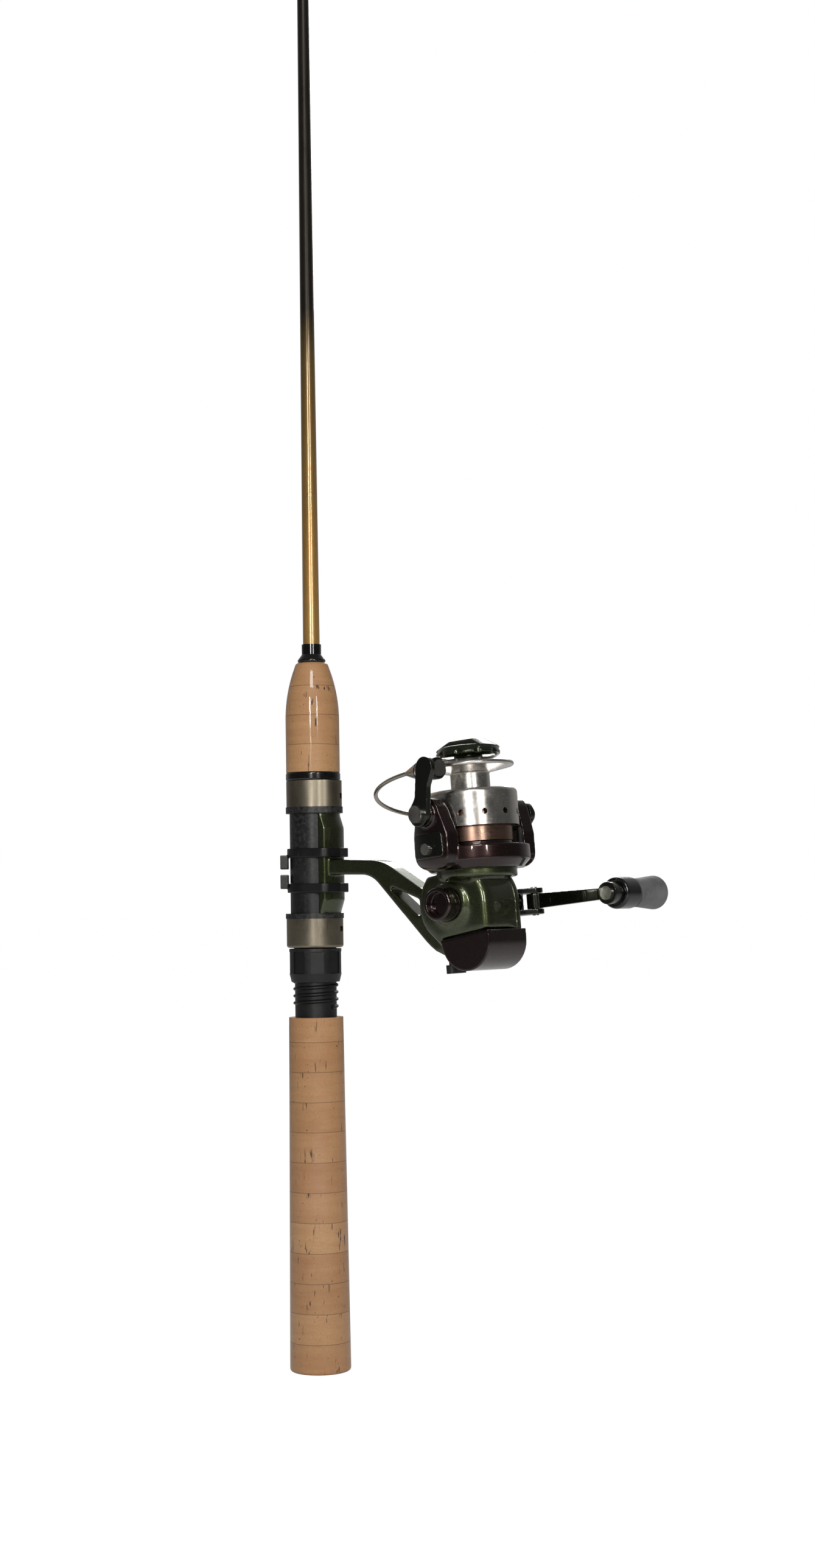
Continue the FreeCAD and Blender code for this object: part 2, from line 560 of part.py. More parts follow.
def make_housing():
    core = new_body("case_core")
    pad(core, "XZ", [case_loop()], "case_left", "case_seam")
    soften(core, "case_round", level_edges("Y", "case_left"))
    revolve(core, [ring("0", "neck_r", "neck_low", "neck_top")])
    neck_clearance(core)
    pad(core, "XZ", [[("crank_x", "0", "boss_r")]], "boss_left", "case_left + 0.1")
    pocket(core, "XZ", [[("crank_x", "0", "bearing_r")]], "boss_left - 1", "case_left + wall + 1")
    pocket(core, "XY", [[("0", "0", "bearing_r + 0.5")]], "neck_top - 3", "neck_top + 1")
    pocket(core, "XY", [[("cam_x", "cam_y", "cam_r + fit")]], "tail_z - 14", "neck_top + 1")

    stem = new_body("stem_bars")
    pad(stem, "XZ", [[("-71.5", "17.6"), ("-54.2", "3.8", "12", -1), ("0.5", "9.5", "33"),
                      ("3.4", "-24.4"), ("-12", "-4"), ("-13", "4"), ("-24.4", "7.6"),
                      ("-50.1", "1.1", "20"), ("-71.5", "23.6")],
                     [("-38.2", "8.6", "0.8"), ("-26.4", "-1.6", "1"), ("-26.6", "3", "1")]],
        "-stem_half", "stem_half")
    room = case_hollow("case_room", "case_left + wall", "case_seam + 12")
    shell = place(cut("case_shell", fuse("case_and_stem", [core, stem]), room), REEL)

    low, high = "foot_low", "foot_high"
    foot = sector("foot_plate", [[("seat_r + foot_gap", low), ("toe_r", low), ("toe_r", f"{low} + toe_len"),
                                  ("foot_r", f"{low} + toe_len + ramp_len"),
                                  ("foot_r", f"{high} - toe_len - ramp_len"),
                                  ("toe_r", f"{high} - toe_len"), ("toe_r", high),
                                  ("seat_r + foot_gap", high)]])
    whole = fuse("housing_solid", [shell, foot])
    barrel_room = cylinder("barrel_room", "seat_r + foot_gap", "rod_length / 4", at(z="rear_end"))
    tools = fuse("housing_tools", [barrel_room, trim_block("trim_space", "trim_proud + 1"),
                                   cylinder("cam_hole", "cam_r + fit", "45",
                                            at("cam_x", "cam_y", "lever_low", within=REEL))])
    node(cut("housing_cut", whole, tools), "reel_housing")


def make_covers():
    cover = new_body("cover_dish")
    pad(cover, "XZ", [case_loop()], "case_seam", "case_right")
    soften(cover, "case_round * 0.7", level_edges("Y", "case_right"))
    neck_clearance(cover)
    pocket(cover, "XZ", [case_loop("wall")], "case_seam - 1", "case_right - wall")
    pad(cover, "XZ", [[("crank_x", "0", "collar_r")]], "case_right - wall - 2", "collar_right")
    pocket(cover, "XZ", [[("crank_x", "0", "bearing_r")]], "case_right - wall - 3",
           "case_right + bearing_wide - 0.6")
    pocket(cover, "XZ", [[("crank_x", "0", "shaft_r + 0.3")]], "case_right", "collar_right + 1")
    place(cover, REEL)
    neck = cylinder("cover_neck", "neck_r", "20", at(z="neck_low", within=REEL))
    tools = fuse("cover_tools", [trim_block("cover_space", "trim_proud + 1"), neck])
    node(cut("cover_cut", cover, tools), "side_cover")

    inner = new_body("trim_hollow")
    pad(inner, "XZ", [case_loop("wall")], "case_left + wall", "case_right - wall")
    node(cut("trim_cut", trim_block("trim_solid", "trim_proud"), place(inner, REEL)), "rear_trim")

    heads = [cylinder(f"case_screw_{i}", "1.7", "1.1",
                      at(x, "case_right + 0.02", z, (1, 0, 0), "-90", REEL))
             for i, (x, z) in enumerate((("-15.5", "6.5"), ("5.6", "6"), ("-14.5", "-8.5")), start=1)]
    node(group("case_screws_group", heads), "housing_screws")


def make_bearings():
    pair = []
    for name, low in (("bearing_left", "boss_left + 0.3"), ("bearing_right", "case_right - 0.6")):
        race = turned_tool(name, [ring("shaft_r + fit", "bearing_r", low, f"{low} + bearing_wide")])
        pair.append(place(race, CRANK))
    node(group("crank_bearing_pair", pair), "crank_bearings")
    turned("rotor_bearing", [ring("pinion_tip + 0.1 + fit", "bearing_r + 0.5", "neck_top - bearing_wide",
                                  "neck_top")], REEL)


# ---------------------------------------------------------------- crank and gears

def make_crank():
    turned("crank_shaft", [ring("0", "shaft_r", "boss_left - 1", "hub_top - 2")], CRANK)
    turned("handle_bolt_cap", [[("shaft_r", "boss_left - 0.2"), ("shaft_r", "boss_left - 1"),
                                ("0", "boss_left - 1"), ("0", "cap_end + cap_deep"),
                                ("cap_recess", "cap_end + cap_deep"), ("cap_recess", "cap_end"),
                                ("cap_r - 1", "cap_end + 1", "1"), ("cap_r", "boss_left - 0.2")]],
           CRANK)

    gear = new_body("drive_gear")
    offset = "-crank_x"
    outer = "sqrt(gear_out^2 + crank_x^2)"
    inner = "sqrt(gear_in^2 + crank_x^2)"
    revolve(gear, [[("shaft_r", "gear_top + 1.8"), ("6", "gear_top + 1.8"), (inner, "gear_top + 1.8"),
                    (inner, "gear_top"), (outer, "gear_top"), (outer, "gear_back"),
                    ("6", "gear_back"), ("6", "gear_back + 2"), ("shaft_r", "gear_back + 2")]])
    # each slot is tangent to the circle that the pinion's axis passes at
    slot = pocket(gear, "XY", [[(f"{offset} - slot_wide / 2", "-gear_out - 3"),
                                (f"{offset} + slot_wide / 2", "-gear_out - 3"),
                                (f"{offset} + slot_wide / 2", "-gear_in + 2.5"),
                                (f"{offset} - slot_wide / 2", "-gear_in + 2.5")]],
                  "gear_top - 1", "gear_top + tooth_deep")
    repeat(gear, slot, "gear_teeth")
    node(gear, "drive_gear", CRANK)

    pinion = new_body("pinion")
    revolve(pinion, [ring("main_r + fit", "pinion_root", "pinion_low", "pinion_low + pinion_face")])
    tooth = pad(pinion, "XY", [[("tooth_foot * 1.15", "pinion_root - 0.2"), ("tooth_tip", "pinion_tip"),
                                ("-tooth_tip", "pinion_tip"), ("-tooth_foot * 1.15", "pinion_root - 0.2")]],
                "pinion_low", "pinion_low + pinion_face")
    repeat(pinion, tooth, "pinion_teeth")
    shank = turned_tool("pinion_shank", [ring("main_r + fit", "pinion_tip + 0.1",
                                              "pinion_low + pinion_face", "web_top + 3.6")])
    node(fuse("pinion_solid", [pinion, shank]), "pinion_gear", REEL)


def spur(name, teeth, phase, bore, frame):
    """A thin spur gear of the crosswind drive, with straight-sided teeth and wide gaps."""
    body = new_body(name)
    root = f"(({teeth}) / 2 - 1.2) * cross_module"
    tip = f"(({teeth}) / 2 + 0.8) * cross_module"
    revolve(body, [ring(bore, root, "cross_left", "cross_right")])
    tooth = pad(body, "XY", [[(f"{root} - 0.2", "-cross_module * 0.62"), (tip, "-cross_module * 0.28"),
                              (tip, "cross_module * 0.28"), (f"{root} - 0.2", "cross_module * 0.62")]],
                "cross_left", "cross_right")
    repeat(body, tooth, teeth)
    return place(body, at(angle=phase, within=frame))


def make_crosswind():
    """The gears that wind the spool up and down, the post, the slider and its rail."""
    toward = "(atan2(" + CROSS_Z.replace("-sqrt", "sqrt") + "; cross_x - crank_x) / 1 deg)"
    node(spur("shaft_spur", "cross_small", toward, "shaft_r", CRANK), "shaft_gear")
    large = spur("crosswind_spur", "cross_large", f"{toward} + 180 + 180 / cross_large",
                 "post_r + fit", CROSS)
    peg = cylinder("crosswind_peg", "1", "1.6", at("-stroke_r", "0", "cross_right - 0.1", within=CROSS))
    node(fuse("crosswind_solid", [large, peg]), "crosswind_gear")
    turned("crosswind_post", [ring("0", "post_r", "case_left + wall", "cross_right - 0.2"),
                              ], CROSS)
    slab = block("slider_slab", ("-3.2", "rail_x + 1.9"), ("-2.9", "1.5"),
                 ("slider_low", "slider_low + slider_tall"), REEL)
    holes = [cylinder("slider_bore", "main_r", "slider_tall + 2", at(z="slider_low - 1", within=REEL)),
             cylinder("slider_eye", "rail_r + fit", "slider_tall + 2",
                      at("rail_x", "rail_y", "slider_low - 1", within=REEL))]
    node(cut("slider_cut", slab, fuse("slider_holes", holes)), "slider")
    low = "tail_z - sqrt((tail_r - wall)^2 - (rail_x + rail_r - tail_x)^2) + 0.05"
    high = "sqrt((case_r - wall)^2 - (rail_x + rail_r - crank_x)^2) - 0.05"
    rail = cylinder("rail_rod", "rail_r", f"({high}) - ({low})", at("rail_x", "rail_y", low, within=REEL))
    node(rail, "slider_rail")


def make_anti_reverse():
    wheel = new_body("ratchet_wheel")
    low, high = "ratchet_low", "ratchet_low + ratchet_thick"
    revolve(wheel, [ring("pinion_tip + 0.1", "ratchet_r - 1.1", low, high)])
    tooth = pad(wheel, "XY", [[("ratchet_r - 1.4", "-1.3"), ("ratchet_r", "0"), ("ratchet_r - 1.4", "0.1")]],
                low, high)
    repeat(wheel, tooth, "ratchet_teeth")
    node(wheel, "ratchet_wheel", REEL)

    rod = cylinder("cam_rod", "cam_r", "ratchet_low + ratchet_thick - lever_low - 1",
                   at("cam_x", "cam_y", "lever_low + 1", within=REEL))
    lever = new_body("lever_plate")
    pad(lever, "XY", [[("cam_x", "cam_y", "2.2"), ("cam_x - 1", "1.6", "2.6"),
                       ("cam_x - 3.4", "0.4", "2")]], "lever_low", "lever_low + 3.2")
    pawl = new_body("pawl_plate")
    pad(pawl, "XY", [[("cam_x", "cam_y", "1.8"), ("cam_x + 7.17", "cam_y - 0.63", "0.35"),
                      ("cam_x + 4.8", "cam_y + 1.2", "0.5")]],
        low, high)
    place(lever, REEL)
    place(pawl, REEL)
    node(fuse("anti_reverse_solid", [rod, lever, pawl]), "anti_reverse_lever")


def make_handle():
    hub = new_body("hub_barrel")
    revolve(hub, [[("shaft_r", "hub_low"), ("hub_r - 0.6", "hub_low + 0.6", "0.6"),
                   ("hub_r", "hub_top"), ("0", "hub_top"), ("0", "hub_top - 2"),
                   ("shaft_r", "hub_top - 2")]])
    place(hub, CRANK)
    ears = []
    for name, low in (("ear_up", "ear_gap"), ("ear_down", "-ear_gap - ear_thick")):
        ear = new_body(name)
        pad(ear, "XY", [[("crank_x - 3.4", "hub_top - 2"), ("crank_x + 4.2", "hub_top - 2"),
                         ("crank_x + fold_x", "fold_y", "3.4"), ("crank_x - 1", "fold_y + 1.6", "1.8")]],
            low, f"{low} + ear_thick")
        ears.append(place(ear, REEL))
    bridge = block("clevis_back", ("crank_x - 3.4", "crank_x + 1.2"), ("hub_top - 2", "fold_y + 1"),
                   ("-ear_gap - 0.2", "ear_gap + 0.2"), REEL)
    eye = cylinder("ear_bore", "pin_r", "14", at(z="-7", within=FOLD))
    solid = fuse("clevis_solid", [hub] + ears + [bridge])
    node(cut("clevis_cut", solid, eye), "crank_clevis")

    pin = cylinder("fold_rod", "pin_r", "ear_gap * 2 + ear_thick * 2 + 0.8",
                   at(z="-ear_gap - ear_thick - 0.4", within=FOLD))
    node(pin, "fold_pin")

    arm = new_body("arm_bar")
    pad(arm, "XZ", [[("0", "0", "arm_root"), ("crank_len - fold_x", "0", "arm_end")]],
        "-arm_thick / 2", "arm_thick / 2")
    place(arm, FOLD)
    tongue = cylinder("arm_eye", "3.1", "arm_root * 2", at(z="-arm_root", within=FOLD))
    end = cylinder("arm_end_boss", "end_r", "knob_low - 0.3 - fold_y + arm_thick / 2 + 0.8",
                   at(z="fold_y - arm_thick / 2 - 0.8", within=KNOB))
    tools = [cylinder("arm_eye_bore", "pin_r + fit", "12", at(z="-6", within=FOLD)),
             cylinder("arm_end_bore", "spindle_r", "12", at(z="fold_y - 6", within=KNOB))]
    node(cut("arm_cut", fuse("arm_solid", [arm, tongue, end]), fuse("arm_tools", tools)), "crank_arm")

    face = "fold_y - arm_thick / 2"
    spindle = [cylinder("spindle_rod", "spindle_r", "knob_top - 6 - fold_y", at(z="fold_y", within=KNOB)),
               cylinder("spindle_head", "2.6", "0.9", at(z=f"{face} - 1.7", within=KNOB)),
               cylinder("spindle_neck", "spindle_r", "arm_thick / 2 + 1", at(z=f"{face} - 1", within=KNOB))]
    node(fuse("spindle_solid", spindle), "knob_spindle")

    bore = "spindle_r + fit"
    turned("knob_core", [[(bore, "knob_low"), ("knob_core - 1", "knob_low + 1", "1"),
                          ("knob_core", "knob_split - 2"), ("knob_waist - 0.4", "knob_split"),
                          (bore, "knob_split")]], KNOB)
    turned("knob_grip", [[(bore, "knob_split"), ("knob_waist", "knob_split"),
                          ("knob_waist", "knob_split + 4"), ("knob_flare - 2.4", "knob_top - 2.4", "2.4"),
                          ("0", "knob_top"), ("0", "knob_top - 5.5"), (bore, "knob_top - 5.5")]], KNOB)


# ---------------------------------------------------------------- rotor and bail

def arm_loop(half, top_r, low):
    """Face outline of a rotor arm, rounded about the bail's pivot."""
    foot = f"({low}) + foot_round"
    return [(f"-({half}) + foot_round", foot, "foot_round"), (f"({half}) - foot_round", foot, "foot_round"),
            (f"({half}) - 2", "bail_z - 8", "2"), ("0", "bail_z", top_r),
            (f"-({half}) + 2", "bail_z - 8", "2")]


def make_rotor():
    bowl = new_body("rotor_bowl")
    revolve(bowl, [[("bowl_in", "bowl_low"), ("bowl_r", "bowl_low"), ("bowl_rim", "bowl_low + 3"),
                    ("bowl_rim", "bowl_top"), ("sleeve_r", "bowl_top"), ("sleeve_r", "web_top"),
                    ("pinion_tip + 0.1", "web_top"), ("pinion_tip + 0.1", "web_low"),
                    ("bowl_in", "web_low")]])
    band = turned_tool("arm_band", [[("arm_in", "bowl_low"),
                                     ("arm_out - arm_round", "bowl_low + arm_round", "arm_round"),
                                     ("arm_out", "bail_z + 20"), ("arm_in", "bail_z + 20")]])
    plates = new_body("arm_plate")
    pad(plates, "XZ", [arm_loop("arm_half", "arm_top_r", "bowl_low + 0.4")], "-arm_out - 5", "arm_out + 5")
    arms = common("rotor_arms", [band, plates])
    bosses = [cylinder(f"pivot_boss_{i}", "pivot_r", "pivot_out - arm_in - 2",
                       at(z=low, within=at(z="bail_z", axis=(1, 0, 0), angle="-90")))
              for i, low in enumerate(("-pivot_out", "arm_in + 2"), start=1)]
    holes = cylinder("pivot_holes", "roller_pin", "pivot_out * 2 + 2",
                     at("0", "-pivot_out - 1", "bail_z", (1, 0, 0), "-90"))
    node(cut("rotor_cut", fuse("rotor_solid", [bowl, arms] + bosses), holes), "rotor", ROTOR)
    turned("rotor_sleeve", [ring("sleeve_in", "sleeve_r", "web_top", "sleeve_top")], ROTOR)
    turned("rotor_nut", [[("pinion_tip + 0.1", "web_top"), ("6", "web_top"), ("6", "web_top + 1.4"),
                          ("4.6", "web_top + 1.4"), ("4.6", "web_top + 3.4"),
                          ("pinion_tip + 0.1", "web_top + 3.4")]], ROTOR)
    screws = []
    for name, side in (("bail_side", "-1"), ("far_side", "1")):
        skin = turned_tool(f"{name}_band", [ring("arm_out", "arm_out + cover_thick",
                                                 "bowl_low + 1.5", "bail_z - 6.5")])
        face = new_body(f"{name}_face")
        low, high = ("-arm_out - 5", "0") if side == "-1" else ("0", "arm_out + 5")
        pad(face, "XZ", [[("-arm_half + 3", "bowl_low + 6.4", "1.6"),
                          ("arm_half - 3", "bowl_low + 6.4", "1.6"),
                          ("arm_half - 3.2", "bail_z - 8.6", "1.6"),
                          ("-arm_half + 3.2", "bail_z - 8.6", "1.6")]], low, high)
        node(common(f"{name}_cover_cut", [skin, face]), f"arm_cover_{name}", ROTOR)
        out = "-arm_out - cover_thick - 0.95" if side == "-1" else "arm_out + cover_thick"
        screws.append(cylinder(f"{name}_screw", "2.2", "0.95",
                               at("0", out, "bowl_low + 8.2", (1, 0, 0), "-90", ROTOR)))
    node(group("cover_screws_group", screws), "cover_screws")
    pivots = []
    for i, (head, rod) in enumerate((("-lever_out - screw_tall - 0.1", "-lever_out - 0.2"),
                                     ("lever_out + 0.1", "arm_in + 2.5")), start=1):
        pivots.append(cylinder(f"pivot_head_{i}", "screw_head", "screw_tall", at(z=head, within=PIVOT)))
        pivots.append(cylinder(f"pivot_rod_{i}", "roller_pin - 0.05", "lever_out - arm_in - 2.2",
                               at(z=rod, within=PIVOT)))
    node(fuse("pivots", pivots), "bail_pivot_screws")


def make_bail():
    lever = new_body("lever_plate_bail")
    pad(lever, "XY", [[("0", "0", "lever_r"), ("-5.8", "-roller_h / 2", "waist_r", -1),
                       ("roller_x - 0.3", "-roller_h", "lever_top_r"),
                       ("11", "-roller_h / 2", "waist_r", -1)]],
        "-lever_out", "-lever_in")
    ear = cylinder("roller_ear", "ear_r", "3.4", at("roller_half + 0.2", "-roller_h", "-roller_y",
                                                    (0, 1, 0), "90"))
    tools = [cylinder("lever_bore", "roller_pin", "12", at(z="-lever_out - 4")),
             cylinder("ear_bore_pin", "roller_pin", "8", at("0", "-roller_h", "-roller_y", (0, 1, 0), "90"))]
    node(cut("lever_cut", fuse("lever_solid", [lever, ear]), fuse("lever_tools", tools)),
         "bail_arm", PIVOT)
    axle = at("0", "-roller_h", "-roller_y", (0, 1, 0), "90", PIVOT)
    turned("line_roller", [[("roller_pin + fit", "-roller_half"), ("roller_r", "-roller_half"),
                            ("roller_r - 0.9", "-0.7"), ("roller_r - 0.9", "0.7"),
                            ("roller_r", "roller_half"), ("roller_pin + fit", "roller_half")]], axle)
    pin = [cylinder("roller_rod", "roller_pin", "roller_half * 2 + 3.9",
                    at(z="-roller_half - 0.3", within=axle)),
           cylinder("roller_head", "3.1", "0.8", at(z="roller_half + 3.6", within=axle))]
    node(fuse("roller_pin_solid", pin), "roller_screw")

    holder = new_body("holder_plate")
    pad(holder, "XY", [[("0", "0", "lever_r"), ("hoop_end_x - 1.6", "-hoop_end_h", "2.4")]],
        "lever_in", "lever_out")
    node(cut("holder_cut", holder, cylinder("holder_bore", "roller_pin", "12", at(z="lever_in - 4"))),
         "bail_holder", PIVOT)

    # the hoop is half of an ellipse between the roller's cone and the holder on the far arm
    near = Vector(size("cone_tip"), -size("roller_h"), -size("roller_y"))
    far = Vector(size("hoop_end_x"), -size("hoop_end_h"), size("hoop_end_y"))
    middle, half = (near + far) / 2, (near - far) / 2
    reach = Vector(-size("hoop_reach"), size("hoop_drop"), 0)
    steps = [math.pi * i / 16 for i in range(17)]
    curve = Part.BSplineCurve()
    curve.interpolate(Points=[middle + half * math.cos(a) + reach * math.sin(a) for a in steps],
                      InitialTangent=reach, FinalTangent=-reach)
    section = Part.Wire([Part.Circle(near, reach, size("wire_r")).toShape()])
    hoop = Part.Wire([curve.toShape()]).makePipeShell([section], True, True)
    cone = Part.makeCone(size("ear_r") - 0.6, size("wire_r"), -size("cone_tip") - size("roller_half") - 0.35,
                         Vector(-size("roller_half") - 0.3, near.y, near.z), Vector(-1, 0, 0))
    ball = Part.makeSphere(size("wire_r"), near)
    wire = doc.addObject("Part::Feature", "bail_hoop")
    wire.Shape = hoop.fuse(cone).fuse(ball).removeSplitter()
    node(wire, "bail_wire", PIVOT)


# ---------------------------------------------------------------- spool, drag and main shaft

def make_spool():
    turned("main_shaft", [ring("0", "main_r", "main_low", "main_top")], REEL)
    spool = new_body("spool")
    inner = "skirt_r - skirt_wall"
    revolve(spool, [[(inner, "skirt_low"), ("skirt_r", "skirt_low"),
                     ("skirt_r - shoulder", "skirt_top - shoulder", "shoulder"),
                     ("arbor_r + 0.6", "skirt_top + 0.6", "0.6", -1),
                     ("arbor_r + 0.6", "lip_low - 0.6", "0.6", -1),
                     ("lip_r - 0.9", "lip_low + 2.6", "0.9"), ("lip_r - 3.4", "lip_top - 0.6", "0.6"),
                     ("drag_r - 0.6", "lip_top - 1.4"), ("arbor_r - arbor_wall", "stack_top"),
                     ("arbor_r - arbor_wall", "stack_low"), ("main_r + fit", "stack_low"),
                     ("main_r + fit", "hub_low_z"), ("spool_hub", "hub_low_z"),
                     ("spool_hub", "skirt_top - 2.4"), (inner, "skirt_top - 2.4")]])
    hole = pocket(spool, "YZ", [[("0", "hole_z", "hole_r")]], "skirt_r - 4", "skirt_r + 2")
    repeat(spool, hole, "skirt_holes")
    node(spool, "spool", ROTOR)
    washers = []
    for i in range(5):
        low = f"stack_low + 0.02 + {i}"
        rim = f"arbor_r - arbor_wall - {0.3 + 0.4 * (i % 2)}"
        washers.append(turned_tool(f"washer_{i + 1}", [ring("main_r + 0.3", rim, low, f"{low} + 0.96")]))
    node(group("washer_stack", washers), "drag_washers", REEL)

    knob = new_body("drag_disc")
    revolve(knob, [[("main_r + fit", "stack_top - 0.5"), ("arbor_r - arbor_wall - 0.8", "stack_top - 0.5"),
                    ("arbor_r - arbor_wall - 0.8", "drag_low - 0.6"), ("drag_r - 1.4", "drag_low"),
                    ("drag_r - 0.8", "drag_low + 1.4", "0.8"), ("drag_r - 2", "drag_top - 1", "1"),
                    ("0", "drag_top"), ("0", "main_top + 0.05"), ("main_r + fit", "main_top + 0.05")]])
    notch = pocket(knob, "XY", [[("drag_r + scallop_r - 0.6", "0", "scallop_r")]], "drag_low - 1",
                   "drag_top + 1")
    repeat(knob, notch, "drag_scallops")
    bar = new_body("drag_bar")
    pad(bar, "YZ", [[("-bar_half - 0.8", "drag_top - 1.2"), ("bar_half + 0.8", "drag_top - 1.2"),
                     ("bar_half - 2.4", "bar_top - 2.4", "2.4"),
                     ("-bar_half + 2.4", "bar_top - 2.4", "2.4")]], "-drag_r", "drag_r")
    dome = new_body("drag_dome")
    revolve(dome, [[("0", "drag_low"), ("drag_r - 1.2", "drag_low"), ("drag_r - 1.6", "drag_top - 1.6", "1.6"),
                    ("bar_half", "bar_top - 2.4", "2.4"), ("0", "bar_top")]])
    node(fuse("drag_solid", [knob, common("drag_bar_domed", [bar, dome])]), "drag_knob", REEL)


# ---------------------------------------------------------------- build

def build():
    for make in (make_blank, make_grips, make_seat, make_hoods, make_ties, make_guides, make_housing,
                 make_covers, make_bearings, make_crank, make_crosswind, make_anti_reverse,
                 make_handle, make_rotor, make_bail, make_spool):
        make()
    doc.recompute()


def check():
    """Stops before anything is written if an object failed or a sub-part isn't sound."""
    failed = [o.Name for o in doc.Objects if {"Invalid", "Error"} & set(o.State)]
    if failed:
        raise RuntimeError("failed objects: " + ", ".join(failed))
    for item in NODES:
        if item.Shape.isNull() or not item.Shape.isValid() or not item.Shape.Solids:
            raise RuntimeError("unsound sub-part: " + item.Label)


def write():
    os.makedirs("parts", exist_ok=True)
    for item in NODES:
        item.Shape.exportStep(f"parts/{item.Label}.step")
        print(f"{item.Label}: {len(item.Shape.Solids)} solid(s), {item.Shape.Volume:.1f} mm3")


build()
check()
write()
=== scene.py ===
"""Looks of a short spinning rod and its small fixed-spool reel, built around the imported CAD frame."""

import json
import logging
import math
from collections.abc import Iterable
from dataclasses import dataclass, field
from enum import Enum
from typing import Any

import bmesh
import bpy
from mathutils import Matrix, Vector

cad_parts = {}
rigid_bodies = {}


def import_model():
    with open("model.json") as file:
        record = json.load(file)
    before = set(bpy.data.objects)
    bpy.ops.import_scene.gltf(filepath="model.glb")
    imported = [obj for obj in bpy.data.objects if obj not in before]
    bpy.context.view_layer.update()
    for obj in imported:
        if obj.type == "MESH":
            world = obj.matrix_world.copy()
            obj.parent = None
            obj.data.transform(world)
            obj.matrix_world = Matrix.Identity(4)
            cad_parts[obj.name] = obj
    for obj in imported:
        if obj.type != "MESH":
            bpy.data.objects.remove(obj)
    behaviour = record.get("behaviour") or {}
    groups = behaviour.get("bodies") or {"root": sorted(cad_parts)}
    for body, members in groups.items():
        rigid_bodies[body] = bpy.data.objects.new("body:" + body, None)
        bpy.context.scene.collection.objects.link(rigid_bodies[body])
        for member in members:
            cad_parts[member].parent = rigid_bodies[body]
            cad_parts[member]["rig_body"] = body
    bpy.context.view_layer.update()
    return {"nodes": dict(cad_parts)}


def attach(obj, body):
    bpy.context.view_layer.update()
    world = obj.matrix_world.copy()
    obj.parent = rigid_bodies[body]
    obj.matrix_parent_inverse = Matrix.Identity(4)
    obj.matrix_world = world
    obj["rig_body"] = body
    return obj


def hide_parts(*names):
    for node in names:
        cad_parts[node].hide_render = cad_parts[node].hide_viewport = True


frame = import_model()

WELD = 1e-7
FINE_CELL = 0.0002
CAST_CELL = 0.0003
EASE = 0.5
LOG = logging.getLogger("spinning_rod")

Colour = tuple[float, float, float]
Place = tuple[float, float, float]
Socket = bpy.types.NodeSocket


class Effect(Enum):
    """The shader node groups that finishes share."""

    AXIS_FRAME = "axis_frame"
    SMUDGES = "smudges"
    EDGE_WEAR = "edge_wear"
    FLAKES = "flakes"
    STREAKS = "streaks"
    PEEL = "orange_peel"


class Axis(Enum):
    """The turning axes that patterns run round: where each starts, in metres, and how far it leans."""

    ROD = ((0.0, 0.0, 0.0), 0.0)
    REEL = ((0.0819, 0.0, 0.184), 4.5)

    @property
    def origin(self) -> Vector:
        """A point on the axis."""
        return Vector(self.value[0])

    @property
    def lean(self) -> float:
        """The axis's lean from +Z towards -X, in radians."""
        return math.radians(self.value[1])


def linear(red: int, green: int, blue: int) -> Colour:
    """The linear colour of an 8-bit display colour.

    Args:
        red: Display red, 0 to 255.
        green: Display green, 0 to 255.
        blue: Display blue, 0 to 255.

    Returns:
        The three linear channels.
    """
    def channel(value: int) -> float:
        """One channel in linear light."""
        share = value / 255
        return share / 12.92 if share <= 0.04045 else ((share + 0.055) / 1.055) ** 2.4

    return channel(red), channel(green), channel(blue)


